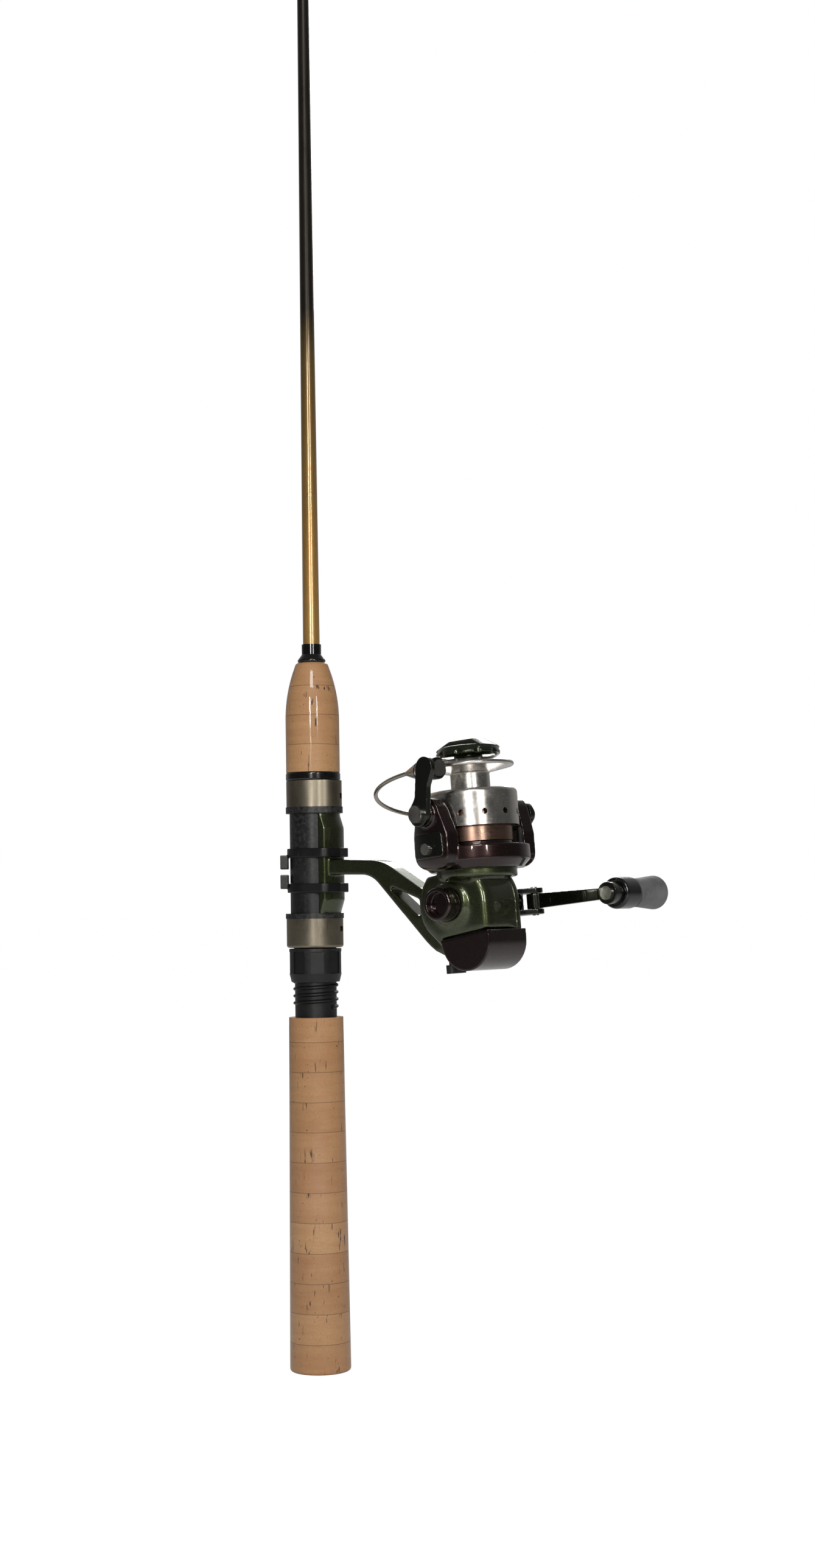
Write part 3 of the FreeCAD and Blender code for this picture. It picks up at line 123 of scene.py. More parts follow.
class Graph:
    """A node tree with short ways to add nodes and join them."""

    def __init__(self, tree: bpy.types.NodeTree) -> None:
        """Keeps the tree that nodes go into."""
        self.tree = tree

    def add(self, kind: str, inputs: dict[str | int, Any] | None = None, **settings: Any) -> bpy.types.Node:
        """Adds a node.

        Args:
            kind: The node's type without its ShaderNode prefix.
            inputs: Values or sockets for the node's inputs, by name or index.
            settings: Properties of the node.

        Returns:
            The new node.
        """
        node = self.tree.nodes.new(f"ShaderNode{kind}")
        for name, value in settings.items():
            setattr(node, name, value)
        for key, value in (inputs or {}).items():
            self.feed(node.inputs[key], value)
        return node

    def feed(self, socket: Socket, value: Any) -> None:
        """Links a socket into an input, or sets the input's value."""
        if isinstance(value, Socket):
            self.tree.links.new(value, socket)
        else:
            socket.default_value = value

    def math(self, operation: str, first: Any, second: Any = 0.0, third: Any = 0.0) -> Socket:
        """The result of a Math node."""
        return self.add("Math", {0: first, 1: second, 2: third}, operation=operation).outputs[0]

    def vector(self, operation: str, first: Any, second: Any) -> Socket:
        """The result of a Vector Math node."""
        return self.add("VectorMath", {0: first, 1: second}, operation=operation).outputs[0]

    def combine(self, x: Any, y: Any, z: Any) -> Socket:
        """A vector from its three parts."""
        return self.add("CombineXYZ", {0: x, 1: y, 2: z}).outputs[0]

    def remap(self, value: Socket, low: float, high: float, to_low: float, to_high: float) -> Socket:
        """A value moved from one range to another and kept inside it."""
        ends = {"Value": value, "From Min": low, "From Max": high, "To Min": to_low, "To Max": to_high}
        return self.add("MapRange", ends).outputs[0]

    def mix(self, share: Any, first: Any, second: Any, blend: str = "MIX") -> Socket:
        """A blend of two colours."""
        colours = {0: share, 6: opaque(first), 7: opaque(second)}
        return self.add("Mix", colours, data_type="RGBA", blend_type=blend).outputs[2]

    def shaded(self, colour: Any, share: Socket) -> Socket:
        """A colour multiplied by a value."""
        return self.mix(1.0, colour, self.combine(share, share, share), "MULTIPLY")

    def noise(self, place: Any, scale: float, detail: float = 3.0, rough: float = 0.55) -> Socket:
        """Smooth noise from 0 to 1."""
        inputs = {"Vector": place, "Scale": scale, "Detail": detail, "Roughness": rough}
        return self.add("TexNoise", inputs).outputs[0]

    def bump(self, height: Socket, strength: float, distance: float, under: Any = None) -> Socket:
        """A normal bent by a height.

        Args:
            height: The height, 0 to 1.
            strength: The bend's share.
            distance: The height's size in metres.
            under: A normal that this one goes on, if any.

        Returns:
            The bent normal.
        """
        inputs = {"Height": height, "Strength": strength, "Distance": distance}
        if under is not None:
            inputs["Normal"] = under
        return self.add("Bump", inputs).outputs[0]

    def effect(self, kind: Effect, inputs: dict[str, Any]) -> bpy.types.Node:
        """Places a shared effect with its own values."""
        node = self.add("Group", node_tree=EFFECTS[kind])
        for key, value in inputs.items():
            self.feed(node.inputs[key], value)
        return node

    def object_place(self) -> Socket:
        """The surface's place in the row frame at rest."""
        return self.add("TexCoord").outputs["Object"]

    def round_axis(self, axis: Axis) -> bpy.types.Node:
        """Angle, height and place about a turning axis."""
        inputs = {"Vector": self.object_place(), "Origin": tuple(axis.origin), "Lean": axis.lean}
        return self.effect(Effect.AXIS_FRAME, inputs)


def opaque(colour: Any) -> Any:
    """A three-part colour with alpha 1; a socket stays as it is."""
    if isinstance(colour, tuple) and len(colour) == 3:
        return (*colour, 1.0)
    return colour


def group_tree(name: str, inputs: dict[str, Any],
               outputs: Iterable[str]) -> tuple[Graph, dict[str, Socket], bpy.types.Node]:
    """Starts a shader node group.

    Args:
        name: The group's name.
        inputs: Each input's name and default; a triple makes a vector.
        outputs: The outputs' names, all values but "Place", which is a vector.

    Returns:
        The graph, its inputs by name and the node that takes its outputs.
    """
    tree = bpy.data.node_groups.new(name, "ShaderNodeTree")
    for label, default in inputs.items():
        kind = "NodeSocketVector" if isinstance(default, tuple) else "NodeSocketFloat"
        tree.interface.new_socket(label, in_out="INPUT", socket_type=kind).default_value = default
    for label in outputs:
        kind = "NodeSocketVector" if label == "Place" else "NodeSocketFloat"
        tree.interface.new_socket(label, in_out="OUTPUT", socket_type=kind)
    start, end = tree.nodes.new("NodeGroupInput"), tree.nodes.new("NodeGroupOutput")
    return Graph(tree), {s.name: s for s in start.outputs if s.name}, end


def axis_frame_group() -> bpy.types.NodeTree:
    """Angle and height of a place about a leaning axis.

    Returns:
        The group.
    """
    graph, given, end = group_tree(
        "axis_frame", {"Vector": (0.0, 0.0, 0.0), "Origin": (0.0, 0.0, 0.0), "Lean": 0.0},
        ("Angle", "Height", "Place"))
    turned = graph.add("VectorRotate", {"Vector": given["Vector"], "Center": given["Origin"],
                                        "Angle": given["Lean"]}, rotation_type="Y_AXIS")
    local = graph.vector("SUBTRACT", turned.outputs[0], given["Origin"])
    parts = graph.add("SeparateXYZ", {0: local}).outputs
    graph.feed(end.inputs["Angle"], graph.math("ARCTAN2", parts[1], parts[0]))
    graph.feed(end.inputs["Height"], parts[2])
    graph.feed(end.inputs["Place"], local)
    return graph.tree


def smudges_group() -> bpy.types.NodeTree:
    """Finger marks and handling haze, as a roughness between two values.

    Returns:
        The group.
    """
    graph, given, end = group_tree(
        "smudges", {"Vector": (0.0, 0.0, 0.0), "Scale": 120.0, "Low": 0.2, "High": 0.4}, ("Roughness",))
    broad = graph.add("TexNoise", {"Vector": given["Vector"], "Scale": given["Scale"], "Detail": 4.0})
    fine_scale = graph.math("MULTIPLY", given["Scale"], 7.0)
    fine = graph.add("TexNoise", {"Vector": given["Vector"], "Scale": fine_scale, "Detail": 2.0})
    both = graph.math("MULTIPLY_ADD", fine.outputs[0], 0.35, graph.math("MULTIPLY", broad.outputs[0], 0.75))
    ends = {"Value": both, "From Min": 0.38, "From Max": 0.72,
            "To Min": given["Low"], "To Max": given["High"]}
    graph.feed(end.inputs["Roughness"], graph.add("MapRange", ends).outputs[0])
    return graph.tree


def edge_wear_group() -> bpy.types.NodeTree:
    """A mask of rubbed edges, broken up by noise.

    Returns:
        The group.
    """
    graph, given, end = group_tree(
        "edge_wear", {"Vector": (0.0, 0.0, 0.0), "Amount": 0.5}, ("Mask",))
    sharp = graph.add("NewGeometry").outputs["Pointiness"]
    edge = graph.remap(sharp, 0.56, 0.68, 0.0, 1.0)
    patch = graph.remap(graph.noise(given["Vector"], 900.0), 0.4, 0.62, 0.0, 1.0)
    worn = graph.math("MULTIPLY", edge, patch)
    graph.feed(end.inputs["Mask"], graph.math("MULTIPLY", worn, given["Amount"]))
    return graph.tree


def flakes_group() -> bpy.types.NodeTree:
    """Metal flakes under lacquer: a value for each flake, and its height.

    Returns:
        The group.
    """
    graph, given, end = group_tree(
        "flakes", {"Vector": (0.0, 0.0, 0.0), "Scale": 9000.0}, ("Value", "Height"))
    cells = graph.add("TexVoronoi", {"Vector": given["Vector"], "Scale": given["Scale"]})
    value = graph.add("SeparateColor", {0: cells.outputs["Color"]}).outputs[0]
    graph.feed(end.inputs["Value"], value)
    graph.feed(end.inputs["Height"], cells.outputs["Distance"])
    return graph.tree


def streaks_group() -> bpy.types.NodeTree:
    """Fine lines that run round an axis, as left by turning or brushing.

    Returns:
        The group.
    """
    graph, given, end = group_tree(
        "streaks", {"Angle": 0.0, "Height": 0.0, "Along": 1.5, "Across": 9000.0}, ("Value",))
    round_x = graph.math("MULTIPLY", graph.math("COSINE", given["Angle"]), given["Along"])
    round_y = graph.math("MULTIPLY", graph.math("SINE", given["Angle"]), given["Along"])
    place = graph.combine(round_x, round_y, graph.math("MULTIPLY", given["Height"], given["Across"]))
    graph.feed(end.inputs["Value"], graph.noise(place, 1.0, 4.0, 0.65))
    return graph.tree


def peel_group() -> bpy.types.NodeTree:
    """The faint waviness of moulded or sprayed surfaces, as a height.

    Returns:
        The group.
    """
    graph, given, end = group_tree("orange_peel", {"Vector": (0.0, 0.0, 0.0), "Scale": 700.0}, ("Height",))
    waves = graph.add("TexNoise", {"Vector": given["Vector"], "Scale": given["Scale"], "Detail": 1.5})
    graph.feed(end.inputs["Height"], waves.outputs[0])
    return graph.tree


EFFECTS: dict[Effect, bpy.types.NodeTree] = {
    Effect.AXIS_FRAME: axis_frame_group(),
    Effect.SMUDGES: smudges_group(),
    Effect.EDGE_WEAR: edge_wear_group(),
    Effect.FLAKES: flakes_group(),
    Effect.STREAKS: streaks_group(),
    Effect.PEEL: peel_group(),
}


# ---------------------------------------------------------------- finishes

@dataclass(frozen=True)
class Finish:
    """A surface finish. A subclass says how its nodes are joined."""

    name: str

    def material(self) -> bpy.types.Material:
        """The finish as a material, made the first time it is asked for."""
        made = bpy.data.materials.get(f"finish_{self.name}")
        if made is None:
            made = bpy.data.materials.new(f"finish_{self.name}")
            made.use_nodes = True
            made.node_tree.nodes.clear()
            graph = Graph(made.node_tree)
            surface = self.surface(graph)
            graph.add("OutputMaterial", {"Surface": surface.outputs[0]})
        return made

    def surface(self, graph: Graph) -> bpy.types.Node:
        """The shader node of this finish.

        Args:
            graph: Where the nodes go.

        Returns:
            The shader node.
        """
        raise NotImplementedError


@dataclass(frozen=True)
class Plastic(Finish):
    """Moulded plastic, from glossy to satin."""

    colour: Colour
    low: float = 0.25
    high: float = 0.45
    coat: float = 0.0
    grain: float = 0.12
    worn: Colour = (0.12, 0.12, 0.12)

    def surface(self, graph: Graph) -> bpy.types.Node:
        """Tinted plastic with handling haze, a moulded skin and paler rubbed edges.

        Args:
            graph: Where the nodes go.

        Returns:
            The shader node.
        """
        place = graph.object_place()
        haze = graph.effect(Effect.SMUDGES, {"Vector": place, "Scale": 90.0,
                                             "Low": self.low, "High": self.high})
        wear = graph.effect(Effect.EDGE_WEAR, {"Vector": place, "Amount": 0.35})
        skin = graph.effect(Effect.PEEL, {"Vector": place, "Scale": 1600.0})
        tone = graph.remap(graph.noise(place, 60.0), 0.3, 0.7, 0.85, 1.15)
        toned = graph.shaded(self.colour, tone)
        return graph.add("BsdfPrincipled", {
            "Base Color": graph.mix(wear.outputs[0], toned, self.worn),
            "Roughness": haze.outputs[0], "Coat Weight": self.coat, "Coat Roughness": 0.06,
            "Normal": graph.bump(skin.outputs[0], self.grain, 0.00004)})


@dataclass(frozen=True)
class Lacquer(Finish):
    """Metallic paint under clear lacquer."""

    colour: Colour
    bright: Colour
    metallic: float = 0.75
    rough: float = 0.34
    coat_rough: float = 0.04

    def surface(self, graph: Graph) -> bpy.types.Node:
        """Flakes of two tones in a dark base, with a wet clear coat and rubbed edges.

        Args:
            graph: Where the nodes go.

        Returns:
            The shader node.
        """
        place = graph.object_place()
        flakes = graph.effect(Effect.FLAKES, {"Vector": place, "Scale": 7000.0})
        haze = graph.effect(Effect.SMUDGES, {"Vector": place, "Scale": 70.0, "Low": self.rough - 0.05,
                                             "High": self.rough + 0.08})
        wear = graph.effect(Effect.EDGE_WEAR, {"Vector": place, "Amount": 0.12})
        peel = graph.effect(Effect.PEEL, {"Vector": place, "Scale": 500.0})
        lit = graph.remap(flakes.outputs["Value"], 0.0, 1.0, 0.1, 0.45)
        painted = graph.mix(lit, self.colour, self.bright)
        grain = graph.bump(flakes.outputs["Height"], 0.10, 0.00003)
        normal = graph.bump(peel.outputs[0], 0.10, 0.00004, grain)
        return graph.add("BsdfPrincipled", {
            "Base Color": graph.mix(wear.outputs[0], painted, tuple(0.4 + 0.6 * c for c in self.bright)),
            "Metallic": self.metallic, "Roughness": haze.outputs[0],
            "Coat Weight": 1.0, "Coat Roughness": self.coat_rough, "Coat IOR": 1.5,
            "Normal": normal})


@dataclass(frozen=True)
class Turned(Finish):
    """Bare or anodised metal with lines round an axis."""

    axis: Axis
    colour: Colour
    low: float = 0.16
    high: float = 0.36
    across: float = 9000.0
    depth: float = 0.2
    dark: float = 0.8

    def surface(self, graph: Graph) -> bpy.types.Node:
        """Metal whose tool lines catch the light, with dull patches.

        Args:
            graph: Where the nodes go.

        Returns:
            The shader node.
        """
        about = graph.round_axis(self.axis)
        place = about.outputs["Place"]
        lines = graph.effect(Effect.STREAKS, {"Angle": about.outputs["Angle"],
                                              "Height": about.outputs["Height"], "Across": self.across})
        haze = graph.effect(Effect.SMUDGES, {"Vector": place, "Scale": 110.0,
                                             "Low": self.low, "High": self.high})
        shade = graph.remap(lines.outputs[0], 0.3, 0.7, self.dark, 1.0)
        smooth = graph.math("SUBTRACT", haze.outputs[0], 0.05)
        rough = graph.math("MULTIPLY_ADD", lines.outputs[0], 0.12, smooth)
        return graph.add("BsdfPrincipled", {
            "Base Color": graph.shaded(self.colour, shade),
            "Metallic": 1.0, "Roughness": rough,
            "Normal": graph.bump(lines.outputs[0], self.depth, 0.00003)})


@dataclass(frozen=True)
class CastMetal(Finish):
    """Plain small metal parts: plated steel, brass, zinc or polished wire."""

    colour: Colour
    low: float = 0.12
    high: float = 0.3
    grain: float = 0.05

    def surface(self, graph: Graph) -> bpy.types.Node:
        """Metal with faint mottling, finger haze and fine scratches.

        Args:
            graph: Where the nodes go.

        Returns:
            The shader node.
        """
        place = graph.object_place()
        haze = graph.effect(Effect.SMUDGES, {"Vector": place, "Scale": 240.0,
                                             "Low": self.low, "High": self.high})
        scratch = graph.noise(graph.vector("MULTIPLY", place, (700.0, 5200.0, 1500.0)), 1.0, 2.0)
        tone = graph.remap(graph.noise(place, 300.0), 0.3, 0.7, 0.86, 1.0)
        return graph.add("BsdfPrincipled", {
            "Base Color": graph.shaded(self.colour, tone),
            "Metallic": 1.0, "Roughness": haze.outputs[0],
            "Normal": graph.bump(scratch, self.grain, 0.00003)})


@dataclass(frozen=True)
class Cork(Finish):
    """Cork rings glued on the rod, sanded, under clear shrink film."""

    pale: Colour = linear(198, 152, 106)
    warm: Colour = linear(172, 122, 78)
    pit: Colour = linear(62, 38, 22)
    ring: float = 0.0118
    film: float = 0.75

    def surface(self, graph: Graph) -> bpy.types.Node:
        """Rings of differing tone with growth bands, upright dark pits and specks, and a film's gloss.

        Args:
            graph: Where the nodes go.

        Returns:
            The shader node.
        """
        about = graph.round_axis(Axis.ROD)
        place, height = about.outputs["Place"], about.outputs["Height"]
        wander = graph.math("MULTIPLY", graph.math("SUBTRACT", graph.noise(place, 45.0, 1.0), 0.5), 0.0004)
        turns = graph.math("DIVIDE", graph.math("ADD", height, wander), self.ring)
        index, share = graph.math("FLOOR", turns), graph.math("FRACT", turns)
        draw = graph.add("TexWhiteNoise", {"W": index}, noise_dimensions="1D")
        shift = graph.combine(0.0, 0.0, graph.math("MULTIPLY", draw.outputs["Value"], 3.0))
        own = graph.vector("ADD", place, shift)
        bands = graph.noise(graph.vector("MULTIPLY", own, (55.0, 55.0, 420.0)), 1.0, 4.0)
        blotch = graph.noise(graph.vector("MULTIPLY", own, (130.0, 130.0, 70.0)), 1.0, 3.0)
        tone = graph.math("MULTIPLY_ADD", bands, 0.55, graph.math("MULTIPLY", draw.outputs["Value"], 0.35))
        tone = graph.math("MULTIPLY_ADD", blotch, 0.35, tone)
        base = graph.mix(graph.remap(tone, 0.35, 0.95, 0.0, 1.0), self.pale, self.warm)
        grain = graph.remap(graph.noise(own, 2600.0, 2.0), 0.3, 0.75, 0.84, 1.08)
        base = graph.shaded(base, grain)
        cracks = graph.noise(graph.vector("MULTIPLY", own, (640.0, 640.0, 105.0)), 1.0, 2.5, 0.6)
        patches = graph.remap(graph.noise(own, 85.0, 1.0), 0.42, 0.6, 0.0, 1.0)
        upright = graph.math("MULTIPLY", graph.remap(cracks, 0.635, 0.68, 0.0, 1.0), patches)
        specks = graph.remap(graph.noise(own, 900.0, 2.0), 0.69, 0.74, 0.0, 0.8)
        from_middle = graph.math("ABSOLUTE", graph.math("SUBTRACT", share, 0.5))
        seam = graph.remap(from_middle, 0.482, 0.495, 0.0, 0.55)
        dark = graph.math("MAXIMUM", graph.math("MAXIMUM", upright, specks), seam)
        wrinkle = graph.noise(graph.vector("MULTIPLY", place, (90.0, 90.0, 26.0)), 1.0, 2.0)
        ripple = graph.noise(graph.vector("MULTIPLY", place, (420.0, 420.0, 150.0)), 1.0, 1.0)
        folds = graph.math("MULTIPLY_ADD", ripple, 0.15, wrinkle)
        haze = graph.effect(Effect.SMUDGES, {"Vector": place, "Scale": 60.0, "Low": 0.5, "High": 0.72})
        return graph.add("BsdfPrincipled", {
            "Base Color": graph.mix(dark, base, self.pit), "Roughness": haze.outputs[0],
            "Normal": graph.bump(graph.math("SUBTRACT", 1.0, dark), 0.35, 0.00012),
            "Coat Weight": self.film, "Coat Roughness": 0.07, "Coat IOR": 1.5,
            "Coat Normal": graph.bump(folds, 0.35, 0.0006)})


@dataclass(frozen=True)
class Blank(Finish):
    """The rod's lacquered stick, gold by the grip and nearly black above."""

    gold: Colour = linear(196, 150, 84)
    olive: Colour = linear(120, 96, 50)
    black: Colour = linear(34, 29, 20)
    gold_to: float = 0.30
    fade_from: float = 0.402
    fade_to: float = 0.424

    def surface(self, graph: Graph) -> bpy.types.Node:
        """A fade along the rod, faint fibre lines and a deep gloss.

        Args:
            graph: Where the nodes go.

        Returns:
            The shader node.
        """
        about = graph.round_axis(Axis.ROD)
        place, height = about.outputs["Place"], about.outputs["Height"]
        fibres = graph.noise(graph.vector("MULTIPLY", place, (2600.0, 2600.0, 60.0)), 1.0, 2.0)
        gold = graph.mix(graph.remap(height, self.gold_to, self.fade_from, 0.0, 1.0), self.gold, self.olive)
        lowered = graph.math("SUBTRACT", height, 0.003)
        wavy = graph.math("MULTIPLY_ADD", graph.noise(place, 400.0), 0.006, lowered)
        dark = graph.remap(wavy, self.fade_from, self.fade_to, 0.0, 1.0)
        tone = graph.remap(fibres, 0.3, 0.7, 0.82, 1.06)
        painted = graph.shaded(graph.mix(dark, gold, self.black), tone)
        haze = graph.effect(Effect.SMUDGES, {"Vector": place, "Scale": 50.0, "Low": 0.26, "High": 0.42})
        return graph.add("BsdfPrincipled", {
            "Base Color": painted, "Metallic": 0.55, "Roughness": haze.outputs[0],
            "Coat Weight": 1.0, "Coat Roughness": 0.05, "Coat IOR": 1.5,
            "Normal": graph.bump(fibres, 0.1, 0.00002)})


@dataclass(frozen=True)
class ThreadWrap(Finish):
    """Wound thread under clear lacquer."""

    colour: Colour = linear(30, 27, 25)
    # The paler colour of a painted highlight on the crown of each thread turn.
    crown_highlight: Colour = linear(88, 80, 70)
    thread: float = 0.00032

    def surface(self, graph: Graph) -> bpy.types.Node:
        """Thread turns with a painted highlight on their crowns, under a thick coat.

        Args:
            graph: Where the nodes go.

        Returns:
            The shader node.
        """
        about = graph.round_axis(Axis.ROD)
        turns = graph.math("MULTIPLY", about.outputs["Height"], math.tau / self.thread)
        crown = graph.math("MULTIPLY_ADD", graph.math("SINE", turns), 0.5, 0.5)
        fuzz = graph.noise(about.outputs["Place"], 1800.0)
        # Painted highlight: each turn's crown is mixed towards the paler colour.
        lit = graph.math("MULTIPLY", crown, graph.remap(fuzz, 0.3, 0.7, 0.3, 0.8))
        return graph.add("BsdfPrincipled", {
            "Base Color": graph.mix(lit, self.colour, self.crown_highlight), "Roughness": 0.45,
            "Coat Weight": 1.0, "Coat Roughness": 0.05,
            "Normal": graph.bump(crown, 0.4, 0.00006)})


@dataclass(frozen=True)
class Felt(Finish):
    """Oiled felt of the drag washers."""

    colour: Colour = linear(120, 100, 70)

    def surface(self, graph: Graph) -> bpy.types.Node:
        """Matted fibres with oil-darkened patches.

        Args:
            graph: Where the nodes go.

        Returns:
            The shader node.
        """
        place = graph.object_place()
        fibres = graph.noise(place, 4200.0, 4.0, 0.7)
        oiled = graph.remap(graph.noise(place, 300.0), 0.35, 0.65, 0.55, 1.0)
        return graph.add("BsdfPrincipled", {
            "Base Color": graph.shaded(self.colour, oiled),
            "Roughness": graph.remap(fibres, 0.3, 0.7, 0.7, 0.95), "Sheen Weight": 0.3,
            "Normal": graph.bump(fibres, 0.4, 0.0001)})


@dataclass(frozen=True)
class SoftGrip(Finish):
    """Soft-touch rubber paint on the crank's knob."""

    colour: Colour = linear(92, 92, 94)
    rubbed: Colour = linear(132, 132, 134)

    def surface(self, graph: Graph) -> bpy.types.Node:
        """A velvety skin with rubbed patches, rubbed edges and handling haze.

        Args:
            graph: Where the nodes go.

        Returns:
            The shader node.
        """
        place = graph.object_place()
        rubs = graph.remap(graph.noise(place, 130.0), 0.4, 0.66, 0.0, 0.6)
        wear = graph.effect(Effect.EDGE_WEAR, {"Vector": place, "Amount": 0.6})
        skin = graph.noise(place, 5200.0, 2.0)
        haze = graph.effect(Effect.SMUDGES, {"Vector": place, "Scale": 160.0, "Low": 0.55, "High": 0.75})
        marked = graph.math("MAXIMUM", rubs, wear.outputs[0])
        return graph.add("BsdfPrincipled", {
            "Base Color": graph.mix(marked, self.colour, self.rubbed), "Roughness": haze.outputs[0],
            "Sheen Weight": 0.25, "Sheen Roughness": 0.4, "Normal": graph.bump(skin, 0.15, 0.00004)})


class Finishes:
    """Every finish of the rod and reel."""

    CORK = Cork("cork")
    BLANK = Blank("blank")
    GLOSS_BLACK = Plastic("gloss_black", linear(9, 9, 9), 0.12, 0.26, 0.6, 0.05)
    SATIN_BLACK = Plastic("satin_black", linear(17, 17, 18), 0.3, 0.46, 0.0, 0.14)
    TIE_NYLON = Plastic("tie_nylon", linear(10, 10, 11), 0.26, 0.42, 0.0, 0.1)
    INNER_BLACK = Plastic("inner_black", linear(26, 26, 27), 0.35, 0.5)
    GREEN = Lacquer("green_paint", linear(22, 27, 16), linear(120, 130, 88), 0.9, 0.3)
    GREEN_DARK = Lacquer("green_dark_paint", linear(20, 25, 15), linear(66, 78, 44), 0.8, 0.26)
    MAROON = Lacquer("maroon_paint", linear(15, 7, 7), linear(72, 44, 41), 0.8, 0.24)
    ARM_BLACK = Lacquer("arm_paint", linear(10, 11, 8), linear(40, 44, 32), 0.7, 0.26)
    HOOD_METAL = Turned("hood_metal", Axis.ROD, linear(150, 141, 124), 0.26, 0.42, 14000.0, 0.16, 0.82)
    SPOOL_METAL = Turned("spool_metal", Axis.REEL, linear(226, 222, 216), 0.16, 0.3, 9000.0, 0.12, 0.86)
    COPPER_METAL = Turned("copper_metal", Axis.REEL, linear(158, 128, 112), 0.22, 0.36, 9000.0, 0.16, 0.8)
    STEEL = CastMetal("steel", linear(200, 198, 192))
    WIRE = CastMetal("wire", linear(190, 184, 172), 0.16, 0.3)
    ZINC = CastMetal("zinc", linear(168, 168, 170), 0.28, 0.45, 0.12)
    BRASS = CastMetal("brass", linear(206, 168, 92), 0.18, 0.34)
    GUIDE_STEEL = CastMetal("guide_steel", linear(205, 204, 202), 0.08, 0.2)
    CERAMIC = Plastic("ceramic", linear(44, 44, 50), 0.06, 0.14, 0.5, 0.02)
    WRAP = ThreadWrap("thread_wrap")
    FELT = Felt("felt")
    SOFT = SoftGrip("soft_grip")


# ---------------------------------------------------------------- pieces

def dress(names: Iterable[str], finish: Finish) -> None:
    """Gives CAD nodes a finish.

    Args:
        names: The nodes' names.
        finish: Their finish.
    """
    for name in names:
        mesh = frame["nodes"][name].data
        mesh.materials.clear()
        mesh.materials.append(finish.material())
        LOG.info("%s has finish %s", name, finish.name)


def piece(name: str, mesh: bmesh.types.BMesh, finish: Finish, body: str) -> bpy.types.Object:
    """Makes a piece from mesh data, smooth-shaded, and sets it on its body.

    Args:
        name: The piece's name.
        mesh: Its mesh, which is used up.
        finish: Its finish.
        body: The CAD body that it rides on.

    Returns:
        The new object.
    """
    bmesh.ops.recalc_face_normals(mesh, faces=mesh.faces)
    data = bpy.data.meshes.new(name)
    mesh.to_mesh(data)
    mesh.free()
    for polygon in data.polygons:
        polygon.use_smooth = True
    data.materials.append(finish.material())
    made = bpy.data.objects.new(name, data)
    bpy.context.scene.collection.objects.link(made)
    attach(made, body)
    LOG.info("%s rides on %s", name, body)
    return made


def evaluated_mesh(holder: bpy.types.Object) -> bpy.types.Mesh:
    """The mesh that an object's modifiers make."""
    return bpy.data.meshes.new_from_object(holder.evaluated_get(bpy.context.evaluated_depsgraph_get()))


@dataclass(frozen=True)
class Easing:
    """A box, in metres, where a cast piece is rounded much more than elsewhere."""

    low: Place
    high: Place
    passes: int
    blend: float = 0.004

    def weight(self, point: Vector) -> float:
        """How much of the rounding a point gets, from 0 outside the box to 1 well inside."""
        gaps = [point[i] - self.low[i] for i in range(3)]
        gaps += [self.high[i] - point[i] for i in range(3)]
        return max(0.0, min(1.0, min(gaps) / self.blend))


def softened(node: str, voxel: float, passes: int, finish: Finish, kept: float = 0.5,
             easing: Easing | None = None) -> bpy.types.Object:
    """Stands a copy with rounded edges in for a CAD node that is cast or moulded.

    Args:
        node: The CAD node.
        voxel: The size in metres of the cells that the copy is rebuilt from.
        passes: How often it is smoothed.
        finish: Its finish.
        kept: The share of its faces that stay.
        easing: Where it is rounded much more, if anywhere.

    Returns:
        The new piece.
    """
    source = frame["nodes"][node]
    mesh = bmesh.new()
    mesh.from_mesh(source.data)
    bmesh.ops.remove_doubles(mesh, verts=mesh.verts, dist=WELD)
    rough = bpy.data.meshes.new(f"{node}_rough")
    mesh.to_mesh(rough)
    mesh.free()
    holder = bpy.data.objects.new(f"{node}_holder", rough)
    bpy.context.scene.collection.objects.link(holder)
    rebuild = holder.modifiers.new("rebuild", "REMESH")
    rebuild.mode, rebuild.voxel_size = "VOXEL", voxel
    ease = holder.modifiers.new("ease", "SMOOTH")
    ease.factor, ease.iterations = EASE, passes
    if easing is not None:
        holder.data = evaluated_mesh(holder)
        holder.modifiers.clear()
        corner = holder.vertex_groups.new(name="corner")
        for vertex in holder.data.vertices:
            corner.add((vertex.index,), easing.weight(vertex.co), "REPLACE")
        melt = holder.modifiers.new("melt", "SMOOTH")
        melt.factor, melt.iterations, melt.vertex_group = EASE, easing.passes, corner.name
    thin = holder.modifiers.new("thin", "DECIMATE")
    thin.ratio = kept
    eased = evaluated_mesh(holder)
    bpy.data.objects.remove(holder)
    mesh = bmesh.new()
    mesh.from_mesh(eased)
    made = piece(f"{node}_cast", mesh, finish, source["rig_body"])
    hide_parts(node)
    return made


@dataclass
class Handle:
    """The cork grips, their trim ring and the check above them."""

    grips: tuple[str, ...] = ("rear_grip", "fore_grip")
    trims: tuple[str, ...] = ("winding_check", "trim_ring")

    def build(self) -> None:
        """Dresses the handle."""
        dress(self.grips, Finishes.CORK)
        dress(self.trims, Finishes.GLOSS_BLACK)


@dataclass
class ReelSeat:
    """The threaded barrel, its lock nut and hoods, and the ties round it."""

    plastic: tuple[str, ...] = ("seat_barrel", "lock_nut", "sliding_hood_rim", "front_hood_rim")
    hoods: tuple[str, ...] = ("sliding_hood", "front_hood")

    def build(self) -> None:
        """Dresses the seat."""
        dress(self.plastic, Finishes.SATIN_BLACK)
        dress(self.hoods, Finishes.HOOD_METAL)
        softened("cable_ties", FINE_CELL, 6, Finishes.TIE_NYLON)


